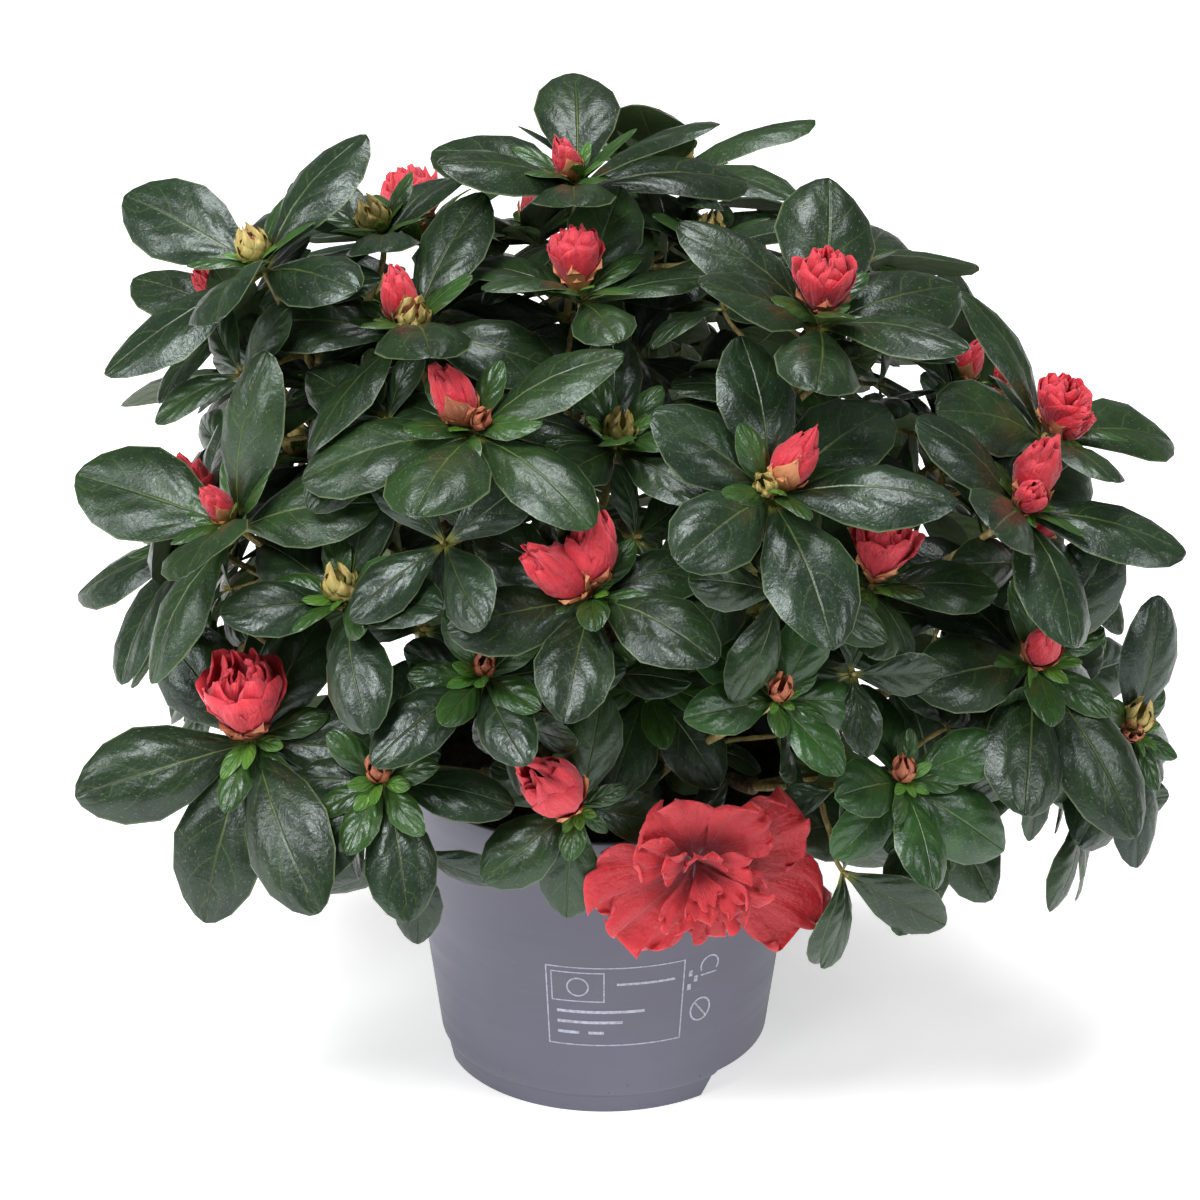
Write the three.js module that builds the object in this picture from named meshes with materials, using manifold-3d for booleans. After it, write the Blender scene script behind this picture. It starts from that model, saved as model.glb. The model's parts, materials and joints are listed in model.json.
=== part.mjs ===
// A florist's azalea in its nursery pot: pot, peat, a short stem with a knuckled fork, the boughs
// that leave the fork, and the masses of leafy, budding shoots that the boughs carry.
// Millimetres, +Z up. The origin is the centre of the pot's flat underside; -Y is the front.
import * as THREE from "three";
import { mergeVertices } from "three/addons/utils/BufferGeometryUtils.js";
import Module from "manifold-3d";

const wasm = await Module();
wasm.setup();

// ---- driving dimensions -------------------------------------------------------------------

const gap = 0.32; // clearance between touching pieces
const grain = 0.001; // points are set on a grid this fine

const pot = {
  height: 109, rimRadius: 70, rimHeight: 11, rimStep: 1.1, neckRadius: 67.3, wall: 1.6,
  footRadius: 53.3, footBand: 7, footInset: 0.9, channelHeight: 8, padRadius: 30,
  notchAngle: -17, notchArc: 72, notchHeight: 8.5, notchSlope: 4,
  drains: 4, drainRadius: 3.4, drainCircle: 41.5, sides: 34,
};

const soil = { level: 98 };

const stem = { footRadius: 11, neckRadius: 6.6, forkRadius: 8.6, forkHeight: 121 };

const bough = { baseRadius: 2.7, tipRadius: 1.9, knuckle: 3, sides: 5, steps: 4 };

const twig = { baseRadius: 1.55, tipRadius: 1.15, sideRadius: 1.15, steps: 3, hub: 2.8 };

const leaf = { length: 57, widthShare: 0.5, thickShare: 0.024, broadest: 0.56, droop: 0.13, crown: 0.035 };

const crown = {
  heart: new THREE.Vector3(0, 0, 121), // the fork, from which the crown spreads
  uprightness: 0.25, // how far a shoot's tip turns up from pointing straight out
  bloomRise: 0.7, // how much further a bloom turns up than the shoot that bears it
  fall: 0.5, fallFrom: 200, fallTo: 120, // how far low leaves are drawn down, and the heights it grows over
  slack: 24, // how far a leaf may reach past the middle between its shoot and a neighbour's
  sideReach: 40, sideDrop: 24, sideTurns: 12, // a side shoot's place about its leader
  sideLow: 116, sideSpacing: 33, // no side shoot grows lower, or closer than this to another shoot
  seed: 434,
  reach: 193, top: 334, hem: 58, // the furthest that any leaf goes out, up and down
};

// Leaves round a shoot, by tier: how many, how long, how far they lean from the shoot's axis.
// Every other leaf of a whorl stands up from the rest by the lift.
const tiers = {
  lead: { count: 6, size: 1, lean: 86, lift: 26 },
  side: { count: 5, size: 0.8, lean: 80, lift: 26 },
  stalk: { count: 1, size: 0.75, lean: 98, lift: 15, spacing: 17 },
};

const blooms = {
  bud: { length: 17, radius: 4.6, sides: 5 },
  half: { length: 30, radius: 11.5, sides: 6 },
  open: { radius: 34, depth: 16, thick: 3, lobes: 5, ruffle: 4.5, sides: 20 },
};

// Each bough runs from the fork to its tip; from and rise say how it sets out (degrees).
const boughs = {
  top: { from: 172, rise: 82, az: 160, out: 15, up: 205 },
  high_left: { from: -172, rise: 52, az: -170, out: 55, up: 196 },
  left: { from: -146, rise: 24, az: -143, out: 66, up: 168 },
  low_left: { from: -126, rise: -4, az: -127, out: 64, up: 124 },
  front: { from: -88, rise: 38, az: -82, out: 56, up: 158 },
  low_front: { from: -87, rise: -2, az: -82, out: 66, up: 123 },
  high_right: { from: -24, rise: 54, az: -24, out: 55, up: 194 },
  right: { from: -18, rise: 16, az: -22, out: 76, up: 144 },
  low_right: { from: -50, rise: -6, az: -46, out: 70, up: 120 },
  high_back: { from: 84, rise: 50, az: 82, out: 52, up: 186 },
  back: { from: 98, rise: 8, az: 98, out: 72, up: 140 },
  back_right: { from: 34, rise: 8, az: 36, out: 74, up: 142 },
  back_left: { from: 156, rise: 8, az: 152, out: 74, up: 140 },
};

// Each mass by the place of its leading shoot, with what that shoot bears. turn is the bearing
// of its first leaf, counted round the shoot from the right-hand side as seen from outside, and
// vigour scales its leaves. faces is the bearing and rise that its tips turn to where they don't
// grow straight out. A row leaves out what is as usual.
const usual = { vigour: 1, sides: 1, bloom: "bud", faces: null };
const masses = [
  { name: "crown_top", bough: "top", az: 150, out: 10, up: 308, turn: 20, sides: 2 },
  { name: "high_back", bough: "top", az: 75, out: 72, up: 286, turn: 20, sides: 2 },
  { name: "high_left", bough: "high_left", az: -169, out: 111, up: 290, turn: 25, sides: 2 },
  { name: "shoulder_left", bough: "high_left", az: -147, out: 74, up: 276, turn: 35 },
  { name: "left", bough: "left", az: -153, out: 131, up: 217, turn: 24 },
  { name: "far_left", bough: "left", az: 178, out: 134, up: 184, turn: 200, sides: 2, bloom: "half" },
  {
    name: "low_left", bough: "low_left", az: -146, out: 135, up: 149, turn: 27,
    faces: [-112, 34], vigour: 1.15, bloom: "half",
  },
  { name: "face_left", bough: "front", az: -117, out: 90, up: 258, turn: -15 },
  { name: "face_right", bough: "front", az: -60, out: 104, up: 241, turn: 30 },
  { name: "front", bough: "front", az: -92, out: 105, up: 213, turn: 30, vigour: 0.85, bloom: "half" },
  { name: "low_front", bough: "low_front", az: -95, out: 98, up: 136, turn: 25, vigour: 0.68, bloom: "half" },
  {
    name: "bloom_front", bough: "low_front", az: -73, out: 98, up: 116, turn: 150,
    faces: [-75, -8], vigour: 0.6, sides: 0, bloom: "open",
  },
  { name: "front_right", bough: "low_front", az: -63, out: 119, up: 178, turn: 5, vigour: 0.62 },
  {
    name: "low_mid_right", bough: "low_right", az: -45, out: 134, up: 144, turn: -20,
    faces: [-68, 36], vigour: 0.72,
  },
  {
    name: "low_far_right", bough: "low_right", az: -10, out: 175, up: 130, turn: 25,
    faces: [-50, 36], vigour: 0.8,
  },
  { name: "high_right", bough: "high_right", az: -36, out: 84, up: 282, turn: -15, sides: 2, bloom: "half" },
  { name: "far_right", bough: "high_right", az: -6, out: 144, up: 229, turn: 20, bloom: "half" },
  { name: "right", bough: "right", az: -21, out: 142, up: 219, turn: -3 },
  {
    name: "low_right", bough: "right", az: -22, out: 149, up: 167, turn: -5,
    faces: [-60, 38], vigour: 1.15,
  },
  { name: "mid_right", bough: "right", az: -41, out: 112, up: 202, turn: 35, vigour: 0.75, sides: 0 },
  {
    name: "high_back_left", bough: "high_back", az: 128, out: 98, up: 262, turn: 75,
    sides: 2, bloom: "half",
  },
  { name: "high_back_right", bough: "high_back", az: 38, out: 102, up: 254, turn: 10, sides: 2 },
  { name: "back", bough: "back", az: 88, out: 134, up: 214, turn: 50, sides: 2, bloom: "half" },
  { name: "low_back", bough: "back", az: 112, out: 132, up: 152, turn: 5, bloom: "half" },
  { name: "back_right", bough: "back_right", az: 28, out: 147, up: 204, turn: 35, sides: 2 },
  { name: "low_back_right", bough: "back_right", az: 52, out: 142, up: 146, turn: 65 },
  { name: "back_left", bough: "back_left", az: 144, out: 141, up: 212, turn: 15, sides: 2 },
  { name: "low_back_left", bough: "back_left", az: 158, out: 138, up: 150, turn: 40, bloom: "half" },
].map((row) => ({ ...usual, ...row }));

// ---- small helpers ------------------------------------------------------------------------

const skyward = new THREE.Vector3(0, 0, 1);
const radians = THREE.MathUtils.degToRad;

// A seeded stream of numbers from low to high: a 32-bit linear congruential sequence.
function seededDraws(seed) {
  let state = (seed * 2654435761) >>> 0;
  return (low, high) => {
    state = (Math.imul(state, 1664525) + 1013904223) >>> 0;
    return low + ((high - low) * state) / 4294967296;
  };
}

function polar(az, out, up) {
  return new THREE.Vector3(out * Math.cos(radians(az)), out * Math.sin(radians(az)), up);
}

function heading(az, rise) {
  return polar(az, Math.cos(radians(rise)), Math.sin(radians(rise)));
}

// Two directions square to axis: the level one to its right seen from outside, and the one above it.
function framing(axis) {
  const right = new THREE.Vector3().crossVectors(skyward, axis).normalize();
  return { right, above: new THREE.Vector3().crossVectors(axis, right) };
}

function around(axis, degrees) {
  const { right, above } = framing(axis);
  return right.multiplyScalar(Math.cos(radians(degrees))).addScaledVector(above, Math.sin(radians(degrees)));
}

// A bend from start to end that leaves along one way and arrives along the other; each share says
// how far it holds that way.
function bend(start, leaving, startShare, end, arriving, endShare) {
  const length = start.distanceTo(end);
  const first = start.clone().addScaledVector(leaving, length * startShare);
  const second = end.clone().addScaledVector(arriving, -length * endShare);
  return new THREE.CubicBezierCurve3(start, first, second, end);
}

// ---- solids -------------------------------------------------------------------------------

function toSolid(geometry) {
  const bare = geometry.index ? geometry.toNonIndexed() : geometry.clone();
  bare.deleteAttribute("normal");
  bare.deleteAttribute("uv");
  const merged = mergeVertices(bare, 1e-4);
  const triVerts = new Uint32Array(merged.index.array);
  const vertProperties = merged.attributes.position.array;
  const make = () => new wasm.Manifold(new wasm.Mesh({ numProp: 3, vertProperties, triVerts }));
  const made = make();
  if (made.volume() > 0) return made;
  for (let i = 0; i < triVerts.length; i += 3) {
    [triVerts[i + 1], triVerts[i + 2]] = [triVerts[i + 2], triVerts[i + 1]];
  }
  return make();
}

function toGeometry(solid) {
  const { numProp, numVert, vertProperties, triVerts } = solid.getMesh();
  const positions = new Float32Array(numVert * 3);
  for (let i = 0; i < numVert * 3; i++) {
    const value = vertProperties[Math.floor(i / 3) * numProp + (i % 3)];
    positions[i] = Math.round(value / grain) * grain;
  }
  const geometry = new THREE.BufferGeometry();
  geometry.setAttribute("position", new THREE.BufferAttribute(positions, 3));
  geometry.setIndex(new THREE.BufferAttribute(triVerts, 1));
  return geometry;
}

function fromFaces(points, faces) {
  const geometry = new THREE.BufferGeometry().setFromPoints(points);
  geometry.setIndex(faces);
  return toSolid(geometry);
}

function turned(profile, sides) {
  const points = profile.map(([radius, height]) => new THREE.Vector2(radius, height));
  return new THREE.LatheGeometry(points, sides).rotateX(Math.PI / 2);
}

// A tapering limb along a curve: rings of the given sides, radius as a function of 0 to 1.
function limb(curve, radiusAt, sides, steps) {
  const points = [];
  const faces = [];
  let side = new THREE.Vector3(1, 0.2, 0.1);
  for (let i = 0; i <= steps; i++) {
    const along = curve.getTangent(i / steps);
    side = side.addScaledVector(along, -side.dot(along)).normalize();
    const other = new THREE.Vector3().crossVectors(along, side);
    const centre = curve.getPoint(i / steps);
    const radius = radiusAt(i / steps);
    for (let k = 0; k < sides; k++) {
      const turn = (2 * Math.PI * k) / sides;
      const point = centre.clone().addScaledVector(side, radius * Math.cos(turn));
      points.push(point.addScaledVector(other, radius * Math.sin(turn)));
    }
  }
  for (let i = 0; i < steps; i++) {
    for (let k = 0; k < sides; k++) {
      const a = i * sides + k;
      const b = i * sides + ((k + 1) % sides);
      faces.push(a, b, b + sides, a, b + sides, a + sides);
    }
  }
  const last = steps * sides;
  for (let k = 1; k < sides - 1; k++) faces.push(0, k + 1, k, last, last + k, last + k + 1);
  return fromFaces(points, faces);
}

// One body: the union's largest piece once points a hair apart are made one, with loose scraps
// and sealed hollows left out.
function fuse(solids) {
  const joined = toSolid(toGeometry(wasm.Manifold.union(solids)));
  return joined.decompose().reduce((best, body) => (body.volume() > best.volume() ? body : best));
}

// ---- pot and peat -------------------------------------------------------------------------

function wallRadius(height) {
  return THREE.MathUtils.mapLinear(
    height, 0, pot.height - pot.rimHeight, pot.footRadius + pot.footInset, pot.neckRadius,
  );
}

function makePot() {
  const rimFoot = pot.height - pot.rimHeight;
  const profile = [
    [0, 0], [pot.padRadius, 0],
    [pot.padRadius + 1.5, pot.channelHeight], [pot.footRadius - pot.wall - 1.2, pot.channelHeight],
    [pot.footRadius - pot.wall, 0], [pot.footRadius, 0],
    [wallRadius(pot.footBand) - pot.footInset, pot.footBand],
    [wallRadius(pot.footBand + 0.5), pot.footBand + 0.5],
    [wallRadius(rimFoot), rimFoot], [wallRadius(rimFoot) + pot.rimStep, rimFoot + 0.3],
    [pot.rimRadius, pot.height], [pot.rimRadius - pot.wall, pot.height],
    [wallRadius(rimFoot) - pot.wall + 0.6, rimFoot + 1],
    [wallRadius(pot.channelHeight + 2) - pot.wall, pot.channelHeight + pot.wall],
    [pot.padRadius + 2.6, pot.channelHeight + pot.wall], [pot.padRadius + 1.1, pot.wall], [0, pot.wall],
  ];
  return toSolid(turned(profile, pot.sides)).subtract(notches()).subtract(drainHoles());
}

// Two wide notches in the foot, opposite each other: a trapezoid bar with the middle left out.
function notches() {
  const half = pot.footRadius * Math.sin(radians(pot.notchArc / 2));
  const outline = new THREE.Shape([
    new THREE.Vector2(-half, -1), new THREE.Vector2(half, -1),
    new THREE.Vector2(half - pot.notchSlope, pot.notchHeight),
    new THREE.Vector2(pot.notchSlope - half, pot.notchHeight),
  ]);
  const length = 2 * pot.footRadius + 10;
  const bar = new THREE.ExtrudeGeometry(outline, { depth: length, bevelEnabled: false });
  bar.translate(0, 0, -length / 2).rotateX(Math.PI / 2).rotateZ(radians(pot.notchAngle + 90));
  const inner = pot.padRadius + 6;
  const middle = new THREE.CylinderGeometry(inner, inner, 60, 24).rotateX(Math.PI / 2);
  return toSolid(bar).subtract(toSolid(middle));
}

function drainHoles() {
  const holes = [];
  for (let i = 0; i < pot.drains; i++) {
    const place = polar((360 * (i + 0.5)) / pot.drains, pot.drainCircle, pot.channelHeight);
    const hole = new THREE.CylinderGeometry(pot.drainRadius, pot.drainRadius, 6, 6).rotateX(Math.PI / 2);
    holes.push(toSolid(hole.translate(place.x, place.y, place.z)));
  }
  return wasm.Manifold.union(holes);
}

function makeSoil() {
  const inside = (height) => wallRadius(height) - pot.wall - gap - 0.1;
  const floor = pot.wall + gap;
  const ledge = pot.channelHeight + pot.wall + gap;
  const profile = [
    [0, floor], [pot.padRadius + 0.6, floor], [pot.padRadius + 2.1, ledge], [inside(ledge) - 0.2, ledge],
    [inside(soil.level), soil.level], [stem.footRadius + 5, soil.level], [0, soil.level],
  ];
  return toSolid(turned(profile, pot.sides));
}

// ---- stem and boughs ----------------------------------------------------------------------

function makeStem() {
  const foot = soil.level + gap;
  const neck = stem.forkHeight - stem.forkRadius;
  const profile = [
    [0, foot], [stem.footRadius, foot], [stem.footRadius * 0.78, foot + 3], [stem.neckRadius + 0.6, foot + 8],
    [stem.neckRadius, neck], [stem.forkRadius * 0.86, stem.forkHeight - stem.forkRadius * 0.5],
    [stem.forkRadius, stem.forkHeight], [stem.forkRadius * 0.8, stem.forkHeight + stem.forkRadius * 0.6],
    [0, stem.forkHeight + stem.forkRadius],
  ];
  return toSolid(turned(profile, 10));
}

function boughCurve({ from, rise, az, out, up }, offset) {
  const tip = polar(az, out, up);
  const start = crown.heart.clone().addScaledVector(heading(from, rise), offset);
  const outward = tip.clone().sub(crown.heart).normalize().addScaledVector(skyward, 0.25).normalize();
  return bend(start, heading(from, rise), 0.35, tip, outward, 0.3);
}

// A bough tapers from the fork to the knuckle that its twigs leave.
function makeBough(row, fork) {
  const radiusAt = (extra) => (t) => THREE.MathUtils.lerp(bough.baseRadius, bough.tipRadius, t) + extra;
  const build = (offset, extra) =>
    limb(boughCurve(row, offset - extra), radiusAt(extra), bough.sides, bough.steps);
  const offset = seat(build, stem.forkRadius * 0.8, fork);
  const tip = polar(row.az, row.out, row.up);
  const knuckle = new THREE.IcosahedronGeometry(bough.knuckle, 0).translate(tip.x, tip.y, tip.z);
  return fuse([build(offset, 0), toSolid(knuckle)]);
}

// How far out a limb starts: the nearest place where it clears what carries it by the gap.
function seat(build, nearest, support) {
  let offset = nearest;
  while (build(offset, gap).intersect(support).volume() > 1e-6) offset += 0.05;
  return offset;
}

// ---- twigs, leaves and blooms -------------------------------------------------------------

// Where a leaf's shoulders, tip, crest and keel are; grown swells it by that much on every side.
function leafPoints({ root, along, up, length }, grown = 0) {
  const half = (length * leaf.widthShare) / 2 + grown;
  const long = length + grown;
  const thick = (length * leaf.thickShare) / 2 + grown;
  const rise = leaf.crown * length;
  const across = new THREE.Vector3().crossVectors(up, along);
  const at = (a, b, c) =>
    root.clone().addScaledVector(along, a).addScaledVector(across, b).addScaledVector(up, c);
  const middle = leaf.broadest * long;
  const sag = -leaf.droop * long;
  return {
    left: at(middle, half, sag * 0.2), right: at(middle, -half, sag * 0.2), tip: at(long, 0, sag),
    crest: at(middle, 0, rise + thick), keel: at(middle, 0, rise - thick),
  };
}

// A single leaf of eight faces, pointed at its root.
function leafSolid(one, grown = 0) {
  const { left, right, tip, crest, keel } = leafPoints(one, grown);
  const fan = [0, 1, 2, 3].flatMap((i) => [i, (i + 1) % 4, 4, (i + 1) % 4, i, 5]);
  return fromFaces([one.root.clone(), left, tip, right, crest, keel], fan);
}

// The room that a leaf needs: the leaf swollen by the gap, and drawn out behind its root.
function leafRoom(one) {
  const behind = 5;
  const root = one.root.clone().addScaledVector(one.along, -behind);
  return leafSolid({ ...one, root, length: one.length + behind }, gap);
}

// A whorl of three or more leaves in one piece: a small hub, with a valley between each leaf and the next.
function whorlSolid(shoot, leaves) {
  const root = leaves[0].root;
  const hub = [1, -1].map((way) => root.clone().addScaledVector(shoot.axis, way * twig.hub));
  const points = [...hub];
  const faces = [];
  const count = leaves.length;
  for (let i = 0; i < count; i++) {
    const next = leaves[(i + 1) % count].bearing + (i + 1 === count ? 360 : 0);
    const valley = root.clone().addScaledVector(around(shoot.axis, (leaves[i].bearing + next) / 2), twig.hub);
    const { left, right, tip, crest, keel } = leafPoints(leaves[i]);
    points.push(right, tip, left, valley, crest, keel);
    const at = 2 + 6 * i;
    const before = 2 + 6 * ((i + count - 1) % count) + 3;
    const rim = [before, at, at + 1, at + 2, at + 3];
    for (const [middle, centre, way] of [[at + 4, 0, 1], [at + 5, 1, -1]]) {
      const loop = [centre, ...rim];
      loop.forEach((point, k) => {
        const other = loop[(k + 1) % loop.length];
        faces.push(...(way > 0 ? [point, other, middle] : [other, point, middle]));
      });
    }
  }
  return fromFaces(points, faces);
}

// The way a leaf runs and its upper side, from its bearing round the axis, its lean away from it
// and how far its own weight draws it down.
function leaning(axis, bearing, lean, fall = 0) {
  const out = around(axis, bearing);
  const along = axis.clone().multiplyScalar(Math.cos(lean)).addScaledVector(out, Math.sin(lean));
  along.addScaledVector(skyward, -fall).normalize();
  const up = axis.clone().addScaledVector(along, -axis.dot(along)).normalize();
  return { along, up };
}

// The leaves of a whorl: bearings evenly spaced from turn, each nudged a little, the odd ones lifted.
function whorlLeaves(shoot, tier, turn, draw) {
  const found = [];
  const low = THREE.MathUtils.clamp((crown.fallFrom - shoot.tip.z) / (crown.fallFrom - crown.fallTo), 0, 1);
  for (let i = 0; i < tier.count; i++) {
    const bearing = turn + (360 * i) / tier.count + draw(-6, 6);
    const lean = radians(tier.lean - (i % 2) * tier.lift + draw(-8, 8));
    const length = leaf.length * tier.size * shoot.vigour * draw(0.9, 1.06);
    const root = shoot.tip.clone().addScaledVector(shoot.axis, -twig.hub);
    found.push({ root, length, bearing, ...leaning(shoot.axis, bearing, lean, crown.fall * low) });
  }
  return found;
}

// The point at t on a twig as it is built, straight from one ring to the next.
function onTwig(curve, t) {
  const step = Math.min(Math.floor(t * twig.steps), twig.steps - 1);
  const next = curve.getPoint((step + 1) / twig.steps);
  return curve.getPoint(step / twig.steps).lerp(next, t * twig.steps - step);
}

// Single leaves down the twig, each on the far side from the last.
function stalkLeaves(shoot, turn, draw) {
  const tier = tiers.stalk;
  const found = [];
  for (let i = 0; i < tier.count; i++) {
    const t = 1 - (tier.spacing * (i + 1)) / shoot.curve.getLength();
    const bearing = turn + 30 + 137.5 * i + draw(-20, 20);
    const length = leaf.length * tier.size * draw(0.85, 1.05);
    if (t < 0.25) continue;
    const lean = radians(tier.lean - tier.lift * i);
    const axis = shoot.curve.getTangent(t);
    found.push({ root: onTwig(shoot.curve, t), length, ...leaning(axis, bearing, lean) });
  }
  return found;
}

function onShoot(geometry, shoot, back) {
  const rise = shoot.bloom === "open" ? 0 : crown.bloomRise;
  const axis = shoot.axis.clone().addScaledVector(skyward, rise).normalize();
  const turn = new THREE.Quaternion().setFromUnitVectors(skyward, axis);
  const base = shoot.tip.clone().addScaledVector(axis, -back);
  return toSolid(geometry.applyQuaternion(turn).translate(base.x, base.y, base.z));
}

function budSolid(shoot) {
  const { length, radius, sides } = blooms.bud;
  const profile = [[0, 0], [radius, length * 0.4], [radius * 0.8, length * 0.75], [0, length]];
  return onShoot(turned(profile, sides), shoot, 1.5);
}

function halfSolid(shoot) {
  const { length, radius, sides } = blooms.half;
  const profile = [
    [0, 0], [radius * 0.7, length * 0.35], [radius, length * 0.85], [radius * 0.6, length], [0, length * 0.9],
  ];
  return onShoot(turned(profile, sides), shoot, 1.5);
}

// An open bloom: a dish of broad lobes whose ruffled rim waves up and down.
function openSolid(shoot) {
  const { radius, depth, thick, lobes, ruffle, sides } = blooms.open;
  const profile = [
    [0, -6], [4, -4], [radius * 0.45, depth * 0.35 - thick], [radius * 0.8, depth * 0.8 - thick],
    [radius, depth], [radius * 0.78, depth * 0.8 + thick * 0.3], [radius * 0.4, depth * 0.35 + thick],
    [0, depth * 0.5],
  ];
  const dish = turned(profile, sides);
  const place = dish.getAttribute("position");
  for (let i = 0; i < place.count; i++) {
    const [x, y, z] = [place.getX(i), place.getY(i), place.getZ(i)];
    const share = Math.hypot(x, y) / radius;
    const bearing = Math.atan2(y, x);
    const grow = 1 - 0.1 * share * (1 - Math.cos(lobes * bearing));
    place.setXYZ(i, x * grow, y * grow, z + ruffle * share ** 3 * Math.sin(2 * lobes * bearing));
  }
  return onShoot(dish, shoot, -4);
}

const bloomSolids = { bud: budSolid, half: halfSolid, open: openSolid };

// ---- the growth rule ----------------------------------------------------------------------

function shootAxis(tip, faces) {
  if (faces) return heading(...faces);
  const outward = tip.clone().sub(crown.heart).normalize();
  return outward.lerp(skyward, crown.uprightness).normalize();
}

function twigSolid(curve, kind, extra) {
  const base = kind === "lead" ? twig.baseRadius : twig.sideRadius;
  const radiusAt = (t) => THREE.MathUtils.lerp(base, twig.tipRadius, t) + extra;
  return limb(curve, radiusAt, 3, twig.steps);
}

// The leading shoots, one a mass. The twigs of one bough set out from its knuckle spread apart.
function leaders(boughSolids) {
  return masses.map((mass, index) => {
    const tip = polar(mass.az, mass.out, mass.up);
    const axis = shootAxis(tip, mass.faces);
    const from = boughs[mass.bough];
    const knuckle = polar(from.az, from.out, from.up);
    const mates = masses.filter((m) => m.bough === mass.bough).map((m) => polar(m.az, m.out, m.up));
    const middle = mates.reduce((sum, m) => sum.add(m), new THREE.Vector3()).divideScalar(mates.length);
    const onward = middle.clone().sub(knuckle).normalize();
    const apart = tip.clone().sub(middle);
    apart.addScaledVector(onward, -apart.dot(onward)).normalize();
    const set = mates.length > 1 ? onward.multiplyScalar(0.72).addScaledVector(apart, 0.69) : onward;
    set.normalize();
    const curveFrom = (offset) =>
      bend(knuckle.clone().addScaledVector(set, offset), set, 0.35, tip, axis, 0.33);
    const build = (offset, extra) => twigSolid(curveFrom(offset - extra), "lead", extra);
    const curve = curveFrom(seat(build, bough.knuckle * 0.7, boughSolids[mass.bough]));
    return { mass, index, tip, axis, curve, vigour: mass.vigour, kind: "lead", bloom: mass.bloom };
  });
}

// A side shoot leaves its leader partway and grows to whichever place about the leader's tip is
// furthest from every other shoot; with no place far enough, it doesn't grow.
function sideShoot(leader, shoots, count, draw) {
  const outward = leader.tip.clone().sub(crown.heart).normalize();
  const places = [];
  for (let i = 0; i < crown.sideTurns; i++) {
    const bearing = (360 * i) / crown.sideTurns;
    const tip = leader.tip.clone().addScaledVector(around(outward, bearing), crown.sideReach);
    tip.addScaledVector(outward, -crown.sideDrop);
    const room = Math.min(...shoots.map((s) => s.tip.distanceTo(tip)));
    const low = tip.z < pot.height + 20 && Math.hypot(tip.x, tip.y) < pot.rimRadius + 30;
    if (!low && tip.z > crown.sideLow) places.push({ tip, room });
  }
  places.sort((a, b) => b.room - a.room);
  const vigour = draw(0.86, 1.02);
  if (!places.length || places[0].room < crown.sideSpacing) return null;
  const { tip } = places[0];
  const axis = shootAxis(tip, leader.mass.faces);
  const t = 0.5 + 0.18 * count;
  const curve = bend(onTwig(leader.curve, t), leader.curve.getTangent(t), 0.3, tip, axis, 0.35);
  return { mass: leader.mass, index: leader.index, tip, axis, curve, vigour, kind: "side", bloom: "" };
}

function growShoots(boughSolids) {
  const shoots = leaders(boughSolids);
  for (const leader of shoots.slice()) {
    const draw = seededDraws(crown.seed + leader.index);
    for (let count = 0; count < leader.mass.sides; count++) {
      const side = sideShoot(leader, shoots, count, draw);
      if (side) shoots.push(side);
    }
  }
  return shoots;
}

// A leaf keeps to its mass's space: no further past the middle to another mass's shoot than the slack.
function staysHome(place, mass, shoots) {
  const reach = (others) => Math.min(...others.map((s) => s.tip.distanceTo(place)));
  const own = reach(shoots.filter((s) => s.mass === mass));
  const foreign = reach(shoots.filter((s) => s.mass !== mass));
  const inCrown = Math.hypot(place.x, place.y) < crown.reach && place.z < crown.top && place.z > crown.hem;
  return inCrown && own < foreign + crown.slack;
}

function boxesMeet(a, b) {
  return [0, 1, 2].every((k) => a.min[k] < b.max[k] && b.min[k] < a.max[k]);
}

function touches(solid, others) {
  const box = solid.boundingBox();
  return others.some((other) => boxesMeet(box, other.box) && solid.intersect(other.solid).volume() > 1e-6);
}

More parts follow.
